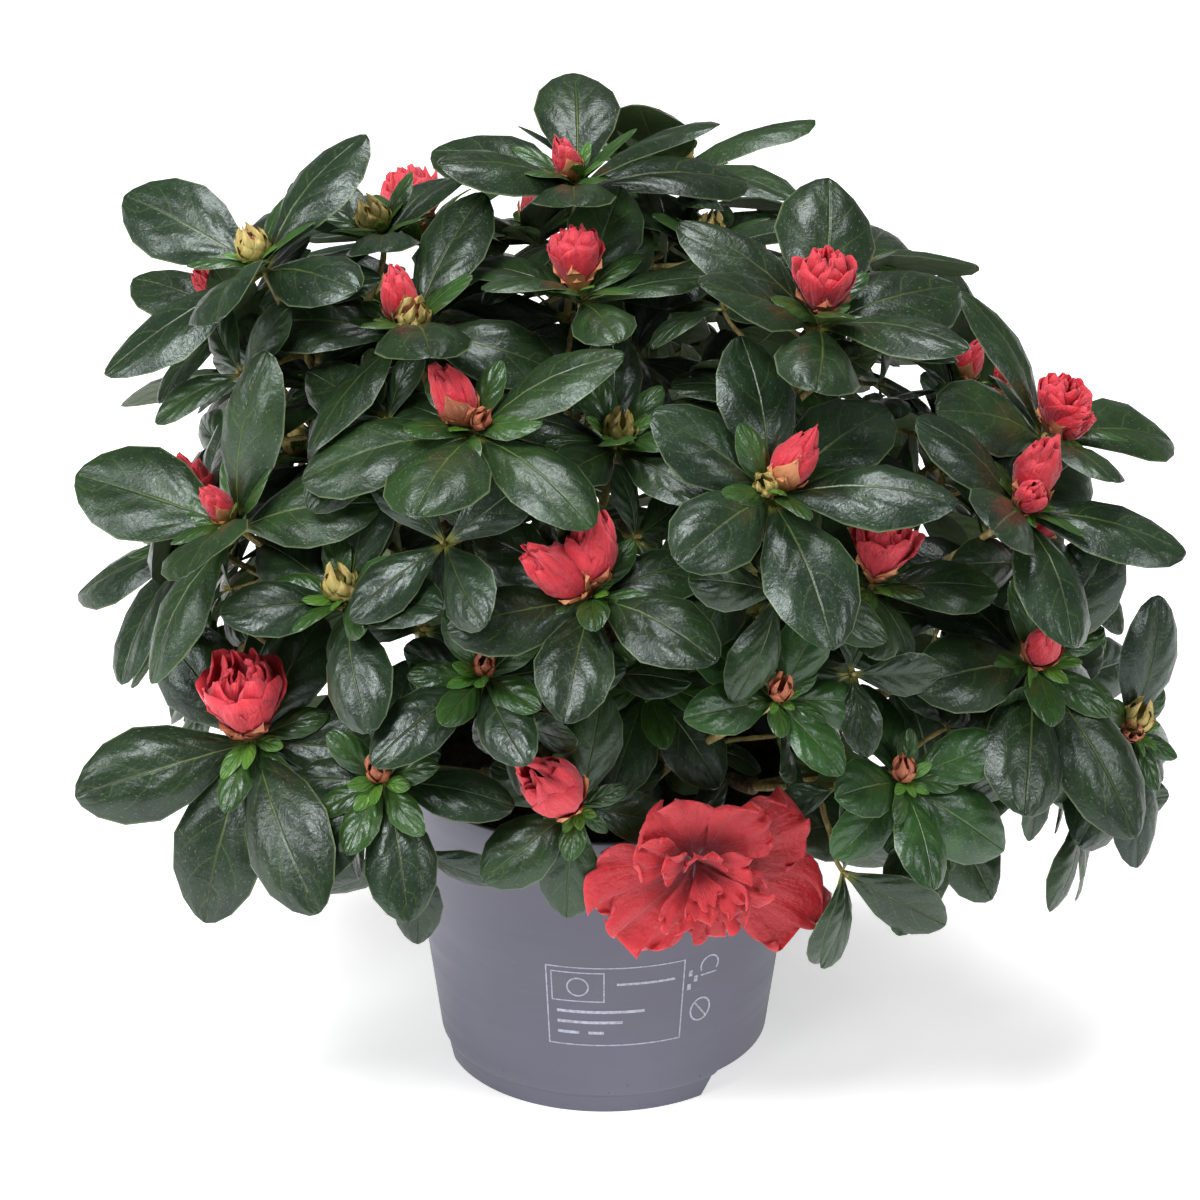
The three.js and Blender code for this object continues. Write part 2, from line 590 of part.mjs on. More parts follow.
function growCrown(fixed, boughSolids) {
  const shoots = growShoots(boughSolids);
  const placed = []; // every piece of every mass: { mass, solid, box }
  const keep = (mass, solid) => placed.push({ mass, solid, box: solid.boundingBox() });
  const foreign = (mass) => [...fixed, ...placed.filter((piece) => piece.mass !== mass)];

  const grown = shoots.filter((shoot) => {
    const blocked = touches(twigSolid(shoot.curve, shoot.kind, gap), foreign(shoot.mass));
    if (shoot.kind === "side" && blocked) return false;
    keep(shoot.mass, twigSolid(shoot.curve, shoot.kind, 0));
    return true;
  });

  for (const shoot of grown) {
    if (bloomSolids[shoot.bloom]) keep(shoot.mass, bloomSolids[shoot.bloom](shoot));
  }

  // A leaf that would leave its mass's space or touch another piece is shortened, or else left out.
  const fitting = (shoot, leaves) =>
    leaves.flatMap((one) => {
      for (const share of [1, 0.84, 0.68]) {
        const sized = { ...one, length: one.length * share };
        const { tip } = leafPoints(sized);
        if (!staysHome(tip, shoot.mass, shoots)) continue;
        if (!touches(leafRoom(sized), foreign(shoot.mass))) return [sized];
      }
      return [];
    });
  const streams = new Map(grown.map((shoot, i) => [shoot, seededDraws(crown.seed + 100 + i)]));
  const turnOf = (shoot) => (shoot.kind === "lead" ? shoot.mass.turn : 15);
  for (const kind of ["lead", "side"]) {
    for (const shoot of grown.filter((s) => s.kind === kind)) {
      const draw = streams.get(shoot);
      const leaves = fitting(shoot, whorlLeaves(shoot, tiers[kind], turnOf(shoot) + draw(-10, 10), draw));
      if (leaves.length > 2) keep(shoot.mass, whorlSolid(shoot, leaves));
      else leaves.forEach((one) => keep(shoot.mass, leafSolid(one)));
    }
  }
  for (const shoot of grown) {
    const leaves = stalkLeaves(shoot, turnOf(shoot), streams.get(shoot));
    fitting(shoot, leaves).forEach((one) => keep(shoot.mass, leafSolid(one)));
  }

  const solidsOf = (mass) => placed.filter((piece) => piece.mass === mass).map((piece) => piece.solid);
  return masses.map((mass) => [mass, fuse(solidsOf(mass))]);
}

// ---- the part -----------------------------------------------------------------------------

const finishes = {
  pot: { color: 0x6f6f79, roughness: 0.5 },
  soil: { color: 0x2c211a, roughness: 1 },
  wood: { color: 0x7d6f45, roughness: 0.8 },
  leaf: { color: 0x2f4a2c, roughness: 0.4 },
};

const azalea = new THREE.Group();
azalea.name = "potted_azalea";

function add(name, solid, finish) {
  const material = new THREE.MeshStandardMaterial({ ...finishes[finish], metalness: 0 });
  const mesh = new THREE.Mesh(toGeometry(solid), material);
  mesh.name = name;
  azalea.add(mesh);
}

const fork = makeStem();
const boughSolids = {};
for (const [name, row] of Object.entries(boughs)) boughSolids[name] = makeBough(row, fork);
const fixedSolids = [["pot", makePot(), "pot"], ["peat", makeSoil(), "soil"], ["stem", fork, "wood"]];
for (const [name, solid] of Object.entries(boughSolids)) fixedSolids.push([`bough_${name}`, solid, "wood"]);
for (const [name, solid, finish] of fixedSolids) add(name, solid, finish);

const fixedPieces = fixedSolids.map(([, solid]) => ({ solid, box: solid.boundingBox() }));
for (const [mass, solid] of growCrown(fixedPieces, boughSolids)) add(`foliage_${mass.name}`, solid, "leaf");

export default azalea;
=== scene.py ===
# A florist's azalea in flower, dressed over its plain solids: pot with its print, peat, bark, and a
# crown grown whorl by whorl from one seeded rule. Lengths are millimetres until a mesh is made.
import json
import math
import bpy
import numpy as np
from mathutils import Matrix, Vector
from mathutils.bvhtree import BVHTree

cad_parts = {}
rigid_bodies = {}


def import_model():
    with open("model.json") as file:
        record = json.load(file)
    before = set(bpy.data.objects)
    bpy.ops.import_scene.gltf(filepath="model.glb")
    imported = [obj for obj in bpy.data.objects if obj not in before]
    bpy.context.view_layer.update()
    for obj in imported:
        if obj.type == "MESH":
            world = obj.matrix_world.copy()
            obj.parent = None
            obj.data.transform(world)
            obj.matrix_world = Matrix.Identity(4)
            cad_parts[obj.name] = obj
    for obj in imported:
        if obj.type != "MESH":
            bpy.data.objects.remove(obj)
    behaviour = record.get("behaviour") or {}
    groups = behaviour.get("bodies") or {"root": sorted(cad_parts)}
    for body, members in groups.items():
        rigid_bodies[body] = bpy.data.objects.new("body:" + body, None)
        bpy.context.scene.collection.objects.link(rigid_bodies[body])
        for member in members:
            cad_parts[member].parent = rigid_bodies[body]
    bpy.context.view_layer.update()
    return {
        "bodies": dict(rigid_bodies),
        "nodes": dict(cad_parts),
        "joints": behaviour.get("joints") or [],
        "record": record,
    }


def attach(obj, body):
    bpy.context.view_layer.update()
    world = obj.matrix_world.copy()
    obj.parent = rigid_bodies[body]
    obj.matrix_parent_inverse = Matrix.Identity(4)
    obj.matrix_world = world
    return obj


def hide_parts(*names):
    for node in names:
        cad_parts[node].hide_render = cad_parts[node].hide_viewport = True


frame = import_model()
metresPerMm = 0.001
skyward = np.array([0.0, 0.0, 1.0])


def linkNew(name, data):
    made = bpy.data.objects.new(name, data)
    bpy.context.scene.collection.objects.link(made)
    return made


camera = {"lens": 163.6, "sensor": 36, "distance": 1800, "elevation": 24.5, "target": (-1.3, 0, 163.5)}


def placeCamera():
    data = bpy.data.cameras.new("viewCamera")
    data.lens = camera["lens"]
    data.sensor_width = camera["sensor"]
    data.sensor_fit = "HORIZONTAL"
    rise = math.radians(camera["elevation"])
    place = Vector(camera["target"]) + camera["distance"] * Vector((0, -math.cos(rise), math.sin(rise)))
    viewer = linkNew("viewCamera", data)
    viewer.location = place * metresPerMm
    viewer.rotation_euler = (math.pi / 2 - rise, 0, 0)
    bpy.context.scene.camera = viewer


placeCamera()


def unit(ways):
    return ways / np.linalg.norm(ways, axis=-1, keepdims=True)


def polar(az, out, up):
    return np.array([out * math.cos(math.radians(az)), out * math.sin(math.radians(az)), up])


def heading(az, rise):
    return polar(az, math.cos(math.radians(rise)), math.sin(math.radians(rise)))


# The direction square to an axis at a bearing, counted from the level one to its right seen from
# outside: right times the cosine plus above times the sine.
def around(axis, degrees):
    right = unit(np.cross(skyward, axis))
    above = np.cross(axis, right)
    turn = np.radians(degrees)
    return right * np.cos(turn) + above * np.sin(turn)


# Four points of a cubic bend that leaves start along one way and reaches end along the other.
def bend(start, leaving, startShare, end, arriving, endShare):
    length = np.linalg.norm(end - start)
    return np.array([start, start + leaving * length * startShare, end - arriving * length * endShare, end])


# Points of a bend: the four points weighted by the cubic Bernstein polynomials of t.
def bendPoints(corners, t):
    t = np.atleast_1d(t)[:, None]
    s = 1 - t
    return s**3 * corners[0] + 3 * s**2 * t * corners[1] + 3 * s * t**2 * corners[2] + t**3 * corners[3]


# Unit tangents of a bend: the derivative of those polynomials.
def bendWays(corners, t):
    t = np.atleast_1d(t)[:, None]
    s = 1 - t
    steps = np.diff(corners, axis=0)
    return unit(s**2 * steps[0] + 2 * s * t * steps[1] + t**2 * steps[2])


def bendLength(corners):
    return np.linalg.norm(np.diff(bendPoints(corners, np.linspace(0, 1, 60)), axis=0), axis=1).sum()


# A seeded stream of numbers from low to high: a 32-bit linear congruential sequence.
def seededDraws(seed):
    state = (seed * 2654435761) % 2**32

    def draw(low, high):
        nonlocal state
        state = (state * 1664525 + 1013904223) % 2**32
        return low + (high - low) * state / 2**32

    return draw


crown = {
    "heart": np.array([0.0, 0.0, 121.0]),  # the fork
    "uprightness": 0.25,
    "fall": 0.5, "fallFrom": 200, "fallTo": 120,  # how far low leaves hang, and the heights it grows over
    "slack": 24, "spurSlack": 60,  # how far a leaf may reach into the next mass
    "reach": 193, "top": 334, "hem": 58,
    "potClearRadius": 73, "potClearHeight": 112,
    "seed": 434, "whorlSeed": 100, "youngSeed": 300, "fineLeafSeed": 600, "spurSeed": 900,
}

# lean is in degrees from the shoot's axis, lift what every second leaf stands higher, back how far
# behind the tip the leaves are rooted
tiers = {
    "lead": {"count": 6, "size": 1.0, "lean": 86, "lift": 26, "width": 0.5, "age": "old", "back": 2.8},
    "side": {"count": 5, "size": 0.8, "lean": 80, "lift": 26, "width": 0.48, "age": "old", "back": 2.8},
    "spur": {"count": 4, "size": 0.66, "lean": 84, "lift": 22, "width": 0.46, "age": "old", "back": 1.5},
    "young": {"count": 5, "size": 0.46, "lean": 60, "lift": 16, "width": 0.4, "age": "young", "back": 1.6},
    "tender": {"count": 5, "size": 0.25, "lean": 34, "lift": 12, "width": 0.34, "age": "tender",
               "back": 0.4},
    "under": {"count": 4, "size": 0.9, "lean": 118, "lift": 10, "width": 0.46, "age": "old", "back": 14},
}
leafSize = {
    "length": 57, "lengths": (0.9, 1.06), "turnSway": 6, "leanSway": 8, "baseSway": 10,
    "youngTurn": 30, "tenderTurn": 75, "sideTurn": 15,
}
stalkLeaf = {
    "count": 3, "share": 0.75, "width": 0.42, "lean": 98, "lift": 15, "spacing": 17, "lowest": 0.2,
    "firstTurn": 30, "nextTurn": 137.5, "turnSway": 20, "lengths": (0.85, 1.05),
}

# rimHeight and rimRadius keep tips off the pot's rim; leaves says how far along its parent a shoot starts
sideShoots = {
    "reach": 40, "drop": 24, "turns": 12, "low": 116, "spacing": 33, "rimHeight": 129, "rimRadius": 100,
    "leaves": (0.5, 0.68), "vigour": (0.86, 1.02), "leaving": 0.3, "arriving": 0.35,
}
spurs = {
    "leaves": {"lead": (0.34, 0.66), "side": (0.5,)}, "length": 30, "lengths": (0.85, 1.2), "turns": 8,
    "firstTurn": 20, "onward": 0.5, "aside": 0.86, "spacing": 20, "low": 100, "rimHeight": 124,
    "rimRadius": 92, "outwards": 0.9, "vigour": (0.85, 1.1), "leaving": 0.3, "arriving": 0.3,
}


# A bough leaves the fork at a bearing and rise, and ends at a bearing, a distance and a height.
def bough(start, rise, az, out, up):
    return {"from": start, "rise": rise, "az": az, "out": out, "up": up}


boughs = {
    "top": bough(172, 82, 160, 15, 205),
    "high_left": bough(-172, 52, -170, 55, 196),
    "left": bough(-146, 24, -143, 66, 168),
    "low_left": bough(-126, -4, -127, 64, 124),
    "front": bough(-88, 38, -82, 56, 158),
    "low_front": bough(-87, -2, -82, 66, 123),
    "high_right": bough(-24, 54, -24, 55, 194),
    "right": bough(-18, 16, -22, 76, 144),
    "low_right": bough(-50, -6, -46, 70, 120),
    "high_back": bough(84, 50, 82, 52, 186),
    "back": bough(98, 8, 98, 72, 140),
    "back_right": bough(34, 8, 36, 74, 142),
    "back_left": bough(156, 8, 152, 74, 140),
}
boughForm = {"start": 8.9, "lift": 0.25, "leaving": 0.35, "arriving": 0.3}
leaderForm = {"onward": 0.72, "apart": 0.69, "start": 3.3, "leaving": 0.35, "arriving": 0.33}


# bears lists what stands at the leader's tip and then at each side shoot's: kinds, each with its size
# and the way it leans where they are given.
# faces is the bearing and rise that the tips turn to where they don't grow straight out.
def mass(name, bough, az, out, up, turn, sides=1, vigour=1, bears=(), faces=None, fresh=False):
    return {"name": name, "bough": bough, "az": az, "out": out, "up": up, "turn": turn, "sides": sides,
            "vigour": vigour, "bears": bears, "faces": faces, "fresh": fresh}


masses = [
    mass("crown_top", "top", 150, 10, 308, 20, 2, bears=("tip", "rose 0.8", "green")),
    mass("high_back", "top", 75, 72, 286, 20, 2, bears=("green green", "tip", "green")),
    mass("high_left", "high_left", -169, 111, 290, 25, 2, bears=("green slim", "green", "opening 0.7")),
    mass("shoulder_left", "high_left", -147, 74, 276, 35, bears=("tip 1.15 slim green", "green")),
    mass("left", "left", -153, 131, 217, 24, bears=("tip slim", "green")),
    mass("far_left", "left", 178, 134, 184, 200, 2, bears=("rose 1.0", "green", "tip")),
    mass("low_left", "low_left", -146, 135, 149, 27, 1, 1.15, ("rose 1.2 up slim 1.2 left", "slim"),
         (-112, 34)),
    mass("face_left", "front", -117, 90, 258, -15, bears=("tip 1.3 left green slim", "green")),
    mass("face_right", "front", -60, 104, 241, 30, bears=("tip 1.3 right green 0.7", "slim")),
    mass("front", "front", -92, 105, 213, 30, 1, 0.85, ("opening 0.95 over opening 0.95 up", "slim")),
    mass("low_front", "low_front", -95, 98, 136, 25, 1, 0.68, ("opening 1.1 left slim", "green")),
    mass("bloom_front", "low_front", -73, 98, 116, 150, 0, 0.6, ("open 1.0",), (-75, -8)),
    mass("front_right", "low_front", -63, 119, 178, 5, 1, 0.62, ("slim", "slim"), fresh=True),
    mass("low_mid_right", "low_right", -45, 134, 144, -20, 1, 0.72, ("slim", "green"), (-68, 36), True),
    mass("low_far_right", "low_right", -10, 175, 130, 25, 1, 0.8, ("green slim", "slim"), (-50, 36)),
    mass("high_right", "high_right", -36, 84, 282, -15, 2, bears=("rose 0.85", "green", "tip")),
    mass("far_right", "high_right", -6, 144, 229, 20, bears=("rose 0.8 tip", "tip")),
    mass("right", "right", -21, 142, 219, -3, bears=("opening 0.85 tip slim", "rose 0.8")),
    mass("low_right", "right", -22, 149, 167, -5, 1, 1.15, ("tip 1.2", "green"), (-60, 38)),
    mass("mid_right", "right", -41, 112, 202, 35, 0, 0.75, bears=("rose 0.9",)),
    mass("high_back_left", "high_back", 128, 98, 262, 75, 2, bears=("rose 0.9", "tip", "green")),
    mass("high_back_right", "high_back", 38, 102, 254, 10, 2, bears=("tip green", "slim", "opening 0.8")),
    mass("back", "back", 88, 134, 214, 50, 2, bears=("rose 1.1", "green", "tip")),
    mass("low_back", "back", 112, 132, 152, 5, bears=("opening 1.0", "slim")),
    mass("back_right", "back_right", 28, 147, 204, 35, 2, bears=("tip slim", "rose 0.8", "green")),
    mass("low_back_right", "back_right", 52, 142, 146, 65, bears=("green", "tip")),
    mass("back_left", "back_left", 144, 141, 212, 15, 2, bears=("tip green", "green", "opening 0.8")),
    mass("low_back_left", "back_left", 158, 138, 150, 40, bears=("rose 0.9", "slim")),
]
blockedSides = ("front_right",)  # a bough is in this side shoot's way, so it stays a bare place


def standing(row):
    return polar(row["az"], row["out"], row["up"])


def shootAxis(tip, faces=None):
    if faces:
        return heading(*faces)
    outward = unit(tip - crown["heart"])
    return unit(outward + (skyward - outward) * crown["uprightness"])


def boughBend(row):
    tip = standing(row)
    leaving = heading(row["from"], row["rise"])
    outward = unit(unit(tip - crown["heart"]) + boughForm["lift"] * skyward)
    start = crown["heart"] + leaving * boughForm["start"]
    return bend(start, leaving, boughForm["leaving"], tip, outward, boughForm["arriving"])


def newShoot(kind, row, index, start, corners, axis, vigour, bears):
    return {"kind": kind, "mass": row, "index": index, "from": start, "bend": corners, "tip": corners[-1],
            "axis": axis, "vigour": vigour, "bears": bears}


# The leading shoots, one a mass, whose twigs set out spread apart from their bough's knuckle.
def leadingShoots():
    shoots = []
    for index, row in enumerate(masses):
        tip = standing(row)
        axis = shootAxis(tip, row["faces"])
        knuckle = standing(boughs[row["bough"]])
        mates = [standing(other) for other in masses if other["bough"] == row["bough"]]
        middle = np.mean(mates, axis=0)
        leaving = onward = unit(middle - knuckle)
        if len(mates) > 1:
            apart = tip - middle
            apart = unit(apart - onward * apart.dot(onward))
            leaving = unit(leaderForm["onward"] * onward + leaderForm["apart"] * apart)
        start = knuckle + leaving * leaderForm["start"]
        corners = bend(start, leaving, leaderForm["leaving"], tip, axis, leaderForm["arriving"])
        shoots.append(newShoot("lead", row, index, knuckle, corners, axis, row["vigour"], row["bears"][0]))
    return shoots


# Whether a place is too low for a shoot's tip, or too near the pot's rim.
def tooLow(place, form):
    byRim = place[2] < form["rimHeight"] and math.hypot(place[0], place[1]) < form["rimRadius"]
    return byRim or place[2] <= form["low"]


def nearest(place, tips):
    return min(np.linalg.norm(other - place) for other in tips)


# A side shoot grows to whichever place about its leader's tip is furthest from every other shoot.
def sideShoot(leader, shoots, count, draw):
    form = sideShoots
    outward = unit(leader["tip"] - crown["heart"])
    best, bestRoom = None, -1
    for i in range(form["turns"]):
        tip = leader["tip"] + around(outward, 360 * i / form["turns"]) * form["reach"]
        tip = tip - outward * form["drop"]
        room = nearest(tip, [s["tip"] for s in shoots])
        if room > bestRoom + 1e-9 and not tooLow(tip, form):
            best, bestRoom = tip, room
    vigour = draw(*form["vigour"])
    if best is None or bestRoom < form["spacing"]:
        return None
    row = leader["mass"]
    t = form["leaves"][count]
    start = bendPoints(leader["bend"], t)[0]
    axis = shootAxis(best, row["faces"])
    leaving = bendWays(leader["bend"], t)[0]
    corners = bend(start, leaving, form["leaving"], best, axis, form["arriving"])
    bears = (row["bears"] + ("",) * 2)[1 + count]
    return newShoot("side", row, leader["index"], start, corners, axis, vigour, bears)


def growShoots():
    shoots = leadingShoots()
    for leader in list(shoots):
        draw = seededDraws(crown["seed"] + leader["index"])
        for count in range(leader["mass"]["sides"]):
            side = sideShoot(leader, shoots, count, draw)
            if side:
                shoots.append(side)
    return [s for s in shoots if s["kind"] == "lead" or s["mass"]["name"] not in blockedSides]


# Finer twigs: each leaves its parent partway, the way that brings it furthest from the other tips.
# A shoot whose bloom is opening or open has none.
def growSpurs(shoots):
    form = spurs
    tips = [s["tip"] for s in shoots]
    found = []
    for order, parent in enumerate(shoots):
        draw = seededDraws(crown["seed"] + crown["spurSeed"] + order)
        if "open" in parent["bears"]:
            continue
        for t in form["leaves"][parent["kind"]]:
            start = bendPoints(parent["bend"], t)[0]
            way = bendWays(parent["bend"], t)[0]
            best, bestRoom = None, form["spacing"]
            for i in range(form["turns"]):
                aside = around(way, 360 * i / form["turns"] + form["firstTurn"])
                onward = unit(form["onward"] * way + form["aside"] * aside)
                tip = start + onward * form["length"] * draw(*form["lengths"])
                room = nearest(tip, tips)
                if room > bestRoom and not tooLow(tip, form):
                    best, bestRoom = tip, room
            if best is None:
                continue
            tips.append(best)
            onward = unit(best - start)
            axis = unit(shootAxis(best) + form["outwards"] * onward)
            corners = bend(start, unit(way + onward), form["leaving"], best, axis, form["arriving"])
            vigour = draw(*form["vigour"])
            found.append(newShoot("spur", parent["mass"], parent["index"], start, corners, axis, vigour, ""))
    return found


# The way a leaf runs and its upper side: the axis turned to the bearing by the lean, then drawn
# down by the fall.
def leaning(axis, bearing, lean, fall):
    out = around(axis, bearing)
    along = unit(axis * math.cos(lean) + out * math.sin(lean) - skyward * fall)
    return along, unit(axis - along * axis.dot(along))


# How low a shoot stands, from 0 to 1: the lowest leaves hang the most.
def lowness(height):
    return min(max((crown["fallFrom"] - height) / (crown["fallFrom"] - crown["fallTo"]), 0), 1)


# The light that leaves don't take from a bloom: the way it comes, how far out and how wide.
openBloom = {"light": (-86, 20), "lightLength": 90, "lightRadius": 41, "guest": "low_front"}
bloomLight = {"rise": 22, "length": 42, "share": 0.85}

# what a leaf that has no room tries: degrees more lean, and a share of its length
leafTries = [(0, 1), (11, 1), (-11, 1), (0, 0.84), (20, 0.84), (-20, 0.84), (0, 0.68), (24, 0.68)]
# shares of a coarse leaf's length: where it starts, is broadest, sags to and is raised to
coarseLeaf = {
    "start": 0.2, "broadest": 0.56, "sag": 0.13, "shoulderSag": 0.039, "crest": 0.035, "crestLift": 0.4,
    "keelDrop": 0.6,
    "faces": [(0, 1, 4), (1, 2, 4), (2, 3, 4), (3, 0, 4), (0, 1, 5), (1, 2, 5), (2, 3, 5), (3, 0, 5)],
}


# The middle of some points, and how far they reach from it.
def ball(points):
    middle = points.mean(0)
    return middle, np.linalg.norm(points - middle, axis=1).max()


class Crown:
    # Every leaf that has found room, with a coarse copy of each for the tests.
    def __init__(self, shoots, bloomEggs):
        self.tips = np.array([s["tip"] for s in shoots])
        self.masses = np.array([s["index"] for s in shoots])
        self.eggs = bloomEggs
        self.leaves = []
        self.trees = []
        self.middles = np.empty((0, 3))
        self.reaches = np.empty(0)
        self.owners = []

    # Root end, shoulders, tip, crest and keel of the coarse leaf.
    def coarse(self, one):
        form, length, half = coarseLeaf, one["length"], one["length"] * one["width"] / 2
        across = np.cross(one["up"], one["along"])
        at = lambda a, b, c: one["root"] + one["along"] * a + across * b + one["up"] * c
        middle, crest = form["broadest"] * length, form["crest"] * length
        shoulder = -form["shoulderSag"] * length
        return np.array([at(form["start"] * length, 0, 0), at(middle, half, shoulder),
                         at(length, 0, -form["sag"] * length), at(middle, -half, shoulder),
                         at(middle, 0, crest + form["crestLift"]), at(middle, 0, crest - form["keelDrop"])])

    def inCrown(self, place, index, slack):
        distance = np.linalg.norm(self.tips - place, axis=1)
        own = distance[self.masses == index].min()
        foreign = distance[self.masses != index].min()
        inside = math.hypot(place[0], place[1]) < crown["reach"] and crown["hem"] < place[2] < crown["top"]
        return inside and own < foreign + slack

    def clearOfPot(self, points):
        out = np.hypot(points[:, 0], points[:, 1])
        return not np.any((out < crown["potClearRadius"]) & (points[:, 2] < crown["potClearHeight"]))

    # Blooms are kept clear as eggs, and their light too, but for the open one's guest.
    def clearOfBlooms(self, points, guest):
        for egg in self.eggs:
            away = points - egg["middle"]
            axial = away @ egg["axis"]
            aside = np.sqrt(np.maximum((away**2).sum(1) - axial**2, 0))
            if np.any((axial / egg["half"]) ** 2 + (aside / egg["radius"]) ** 2 < 1):
                return False
            if egg["light"] is None or (guest and egg["wide"]):
                continue
            way, length, radius = egg["light"]
            ahead = away @ way
            beside = np.sqrt(np.maximum((away**2).sum(1) - ahead**2, 0))
            if np.any((ahead > 0) & (ahead < length) & (beside < radius)):
                return False
        return True

    def hasRoom(self, points, tree, owner):
        middle, reach = ball(points)
        near = np.nonzero(np.linalg.norm(self.middles - middle, axis=1) < self.reaches + reach)[0]
        return not any(self.owners[i] != owner and self.trees[i].overlap(tree) for i in near)

    # A leaf tries a few leans and lengths, and is left out where none of them fits.
    def place(self, shoot, owner, root, axis, bearing, lean, length, width, age, slack):
        fall = crown["fall"] * lowness(shoot["tip"][2])
        for shift, share in leafTries:
            along, up = leaning(axis, bearing, math.radians(lean) + math.radians(shift), fall)
            one = {"root": root, "along": along, "up": up, "length": length * share, "width": width,
                   "age": age, "spray": owner}
            points = self.coarse(one)
            if not self.inCrown(points[2], shoot["index"], slack) or not self.clearOfPot(points):
                continue
            halfway = (points[:5, None] + points[None, :5]).reshape(-1, 3) / 2
            if not self.clearOfBlooms(halfway, shoot["mass"]["name"] == openBloom["guest"]):
                continue
            tree = BVHTree.FromPolygons(points.tolist(), coarseLeaf["faces"])
            if self.hasRoom(points, tree, owner):
                self.leaves.append(one)
                self.trees.append(tree)
                self.owners.append(owner)
                middle, reach = ball(points)
                self.middles = np.vstack([self.middles, middle])
                self.reaches = np.append(self.reaches, reach)
                return


# The leaves of a whorl: bearings evenly spaced from turn, each nudged a little, the odd ones lifted.
def growWhorl(home, shoot, owner, tier, turn, draw, slack):
    root = shoot["tip"] - shoot["axis"] * tier["back"]
    sway, tilt = leafSize["turnSway"], leafSize["leanSway"]
    fresh = shoot["mass"]["fresh"] and shoot["kind"] == "lead" and tier["age"] == "old"
    for i in range(tier["count"]):
        bearing = turn + 360 * i / tier["count"] + draw(-sway, sway)
        lean = tier["lean"] - (i % 2) * tier["lift"] + draw(-tilt, tilt)
        length = leafSize["length"] * tier["size"] * shoot["vigour"] * draw(*leafSize["lengths"])
        home.place(shoot, owner, root, shoot["axis"], bearing, lean, length, tier["width"],
                   "fresh" if fresh else tier["age"], slack)


# Single leaves down the twig, each on the far side from the last.
def growStalkLeaves(home, shoot, owner, turn, draw, count, slack):
    form = stalkLeaf
    for i in range(count):
        t = 1 - form["spacing"] * (i + 1) / bendLength(shoot["bend"])
        bearing = turn + form["firstTurn"] + form["nextTurn"] * i + draw(-form["turnSway"], form["turnSway"])
        length = leafSize["length"] * form["share"] * shoot["vigour"] * draw(*form["lengths"])
        if t < form["lowest"]:
            continue
        axis = bendWays(shoot["bend"], t)[0]
        root = bendPoints(shoot["bend"], t)[0]
        lean = form["lean"] - form["lift"] * i
        home.place(shoot, owner, root, axis, bearing, lean, length, form["width"], "old", slack)


def growCrown(shoots, fineShoots, bloomEggs):
    home = Crown(shoots, bloomEggs)
    seed, slack, spurSlack = crown["seed"], crown["slack"], crown["spurSlack"]
    streams = [seededDraws(seed + crown["whorlSeed"] + i) for i in range(len(shoots))]
    turns = [s["mass"]["turn"] if s["kind"] == "lead" else leafSize["sideTurn"] for s in shoots]
    opens = ["open" in s["bears"].split() for s in shoots]
    bases = {}
    for kind in ("lead", "side"):
        for i, shoot in enumerate(shoots):
            if shoot["kind"] == kind:
                bases[i] = turns[i] + streams[i](-leafSize["baseSway"], leafSize["baseSway"])
                tier = tiers["under" if opens[i] else kind]
                growWhorl(home, shoot, i, tier, bases[i], streams[i], slack)
    for i, shoot in enumerate(shoots):  # inner whorls stand over the gaps of the outer one
        draw = seededDraws(seed + crown["youngSeed"] + i)
        if not opens[i]:
            growWhorl(home, shoot, i, tiers["young"], bases[i] + leafSize["youngTurn"], draw, slack)
            growWhorl(home, shoot, i, tiers["tender"], bases[i] + leafSize["tenderTurn"], draw, slack)
    for i, shoot in enumerate(shoots):
        growStalkLeaves(home, shoot, i, turns[i], streams[i], stalkLeaf["count"], slack)
    for i, shoot in enumerate(fineShoots):
        owner = len(shoots) + i
        draw = seededDraws(seed + crown["fineLeafSeed"] + i)
        growWhorl(home, shoot, owner, tiers["spur"], draw(0, 360), draw, spurSlack)
        growStalkLeaves(home, shoot, owner, draw(0, 360), draw, 1, spurSlack)
    return home.leaves


# Quads of a grid of points, row by row; a wrapped grid joins its last column to its first.
def gridFaces(rows, columns, wrapped=False):
    place = np.arange(rows * columns).reshape(rows, columns)
    if wrapped:
        place = np.hstack([place, place[:, :1]])
    return np.stack([place[:-1, :-1], place[1:, :-1], place[1:, 1:], place[:-1, 1:]], -1).reshape(-1, 4)


# Joins several lots of points and faces into one.
def joined(lots):
    points, faces, start = [], [], 0
    for some, sides in lots:
        points.append(np.reshape(some, (-1, 3)))
        faces += [[v + start for v in face] for face in sides]
        start += len(points[-1])
    return np.concatenate(points), faces


def newMesh(name, points, faces):
    mesh = bpy.data.meshes.new(name)
    mesh.from_pydata((np.reshape(points, (-1, 3)) * metresPerMm).tolist(), [], faces)
    return mesh


def makeMesh(name, points, faces, material, nodes=(), uv=None, sharpAngle=50):
    mesh = newMesh(name, points, faces)
    if uv is not None:
        mesh.uv_layers.new(name="OFBake").data.foreach_set("uv", np.asarray(uv, dtype=np.float32).ravel())
    mesh.shade_smooth()
    mesh.set_sharp_from_angle(angle=math.radians(sharpAngle))
    mesh.materials.append(material)
    mesh.validate()
    piece = linkNew(name, mesh)
    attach(piece, "root")
    if nodes:
        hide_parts(*nodes)
    print("made", name, len(mesh.polygons), "faces")
    return piece


# Unit normals of grids of points: the cross product of the steps along and the steps across.
def gridNormals(points):
    along = np.gradient(points, axis=-3)
    across = np.gradient(points, axis=-2)
    normal = np.cross(along, across)
    return normal / np.maximum(np.linalg.norm(normal, axis=-1, keepdims=True), 1e-9)


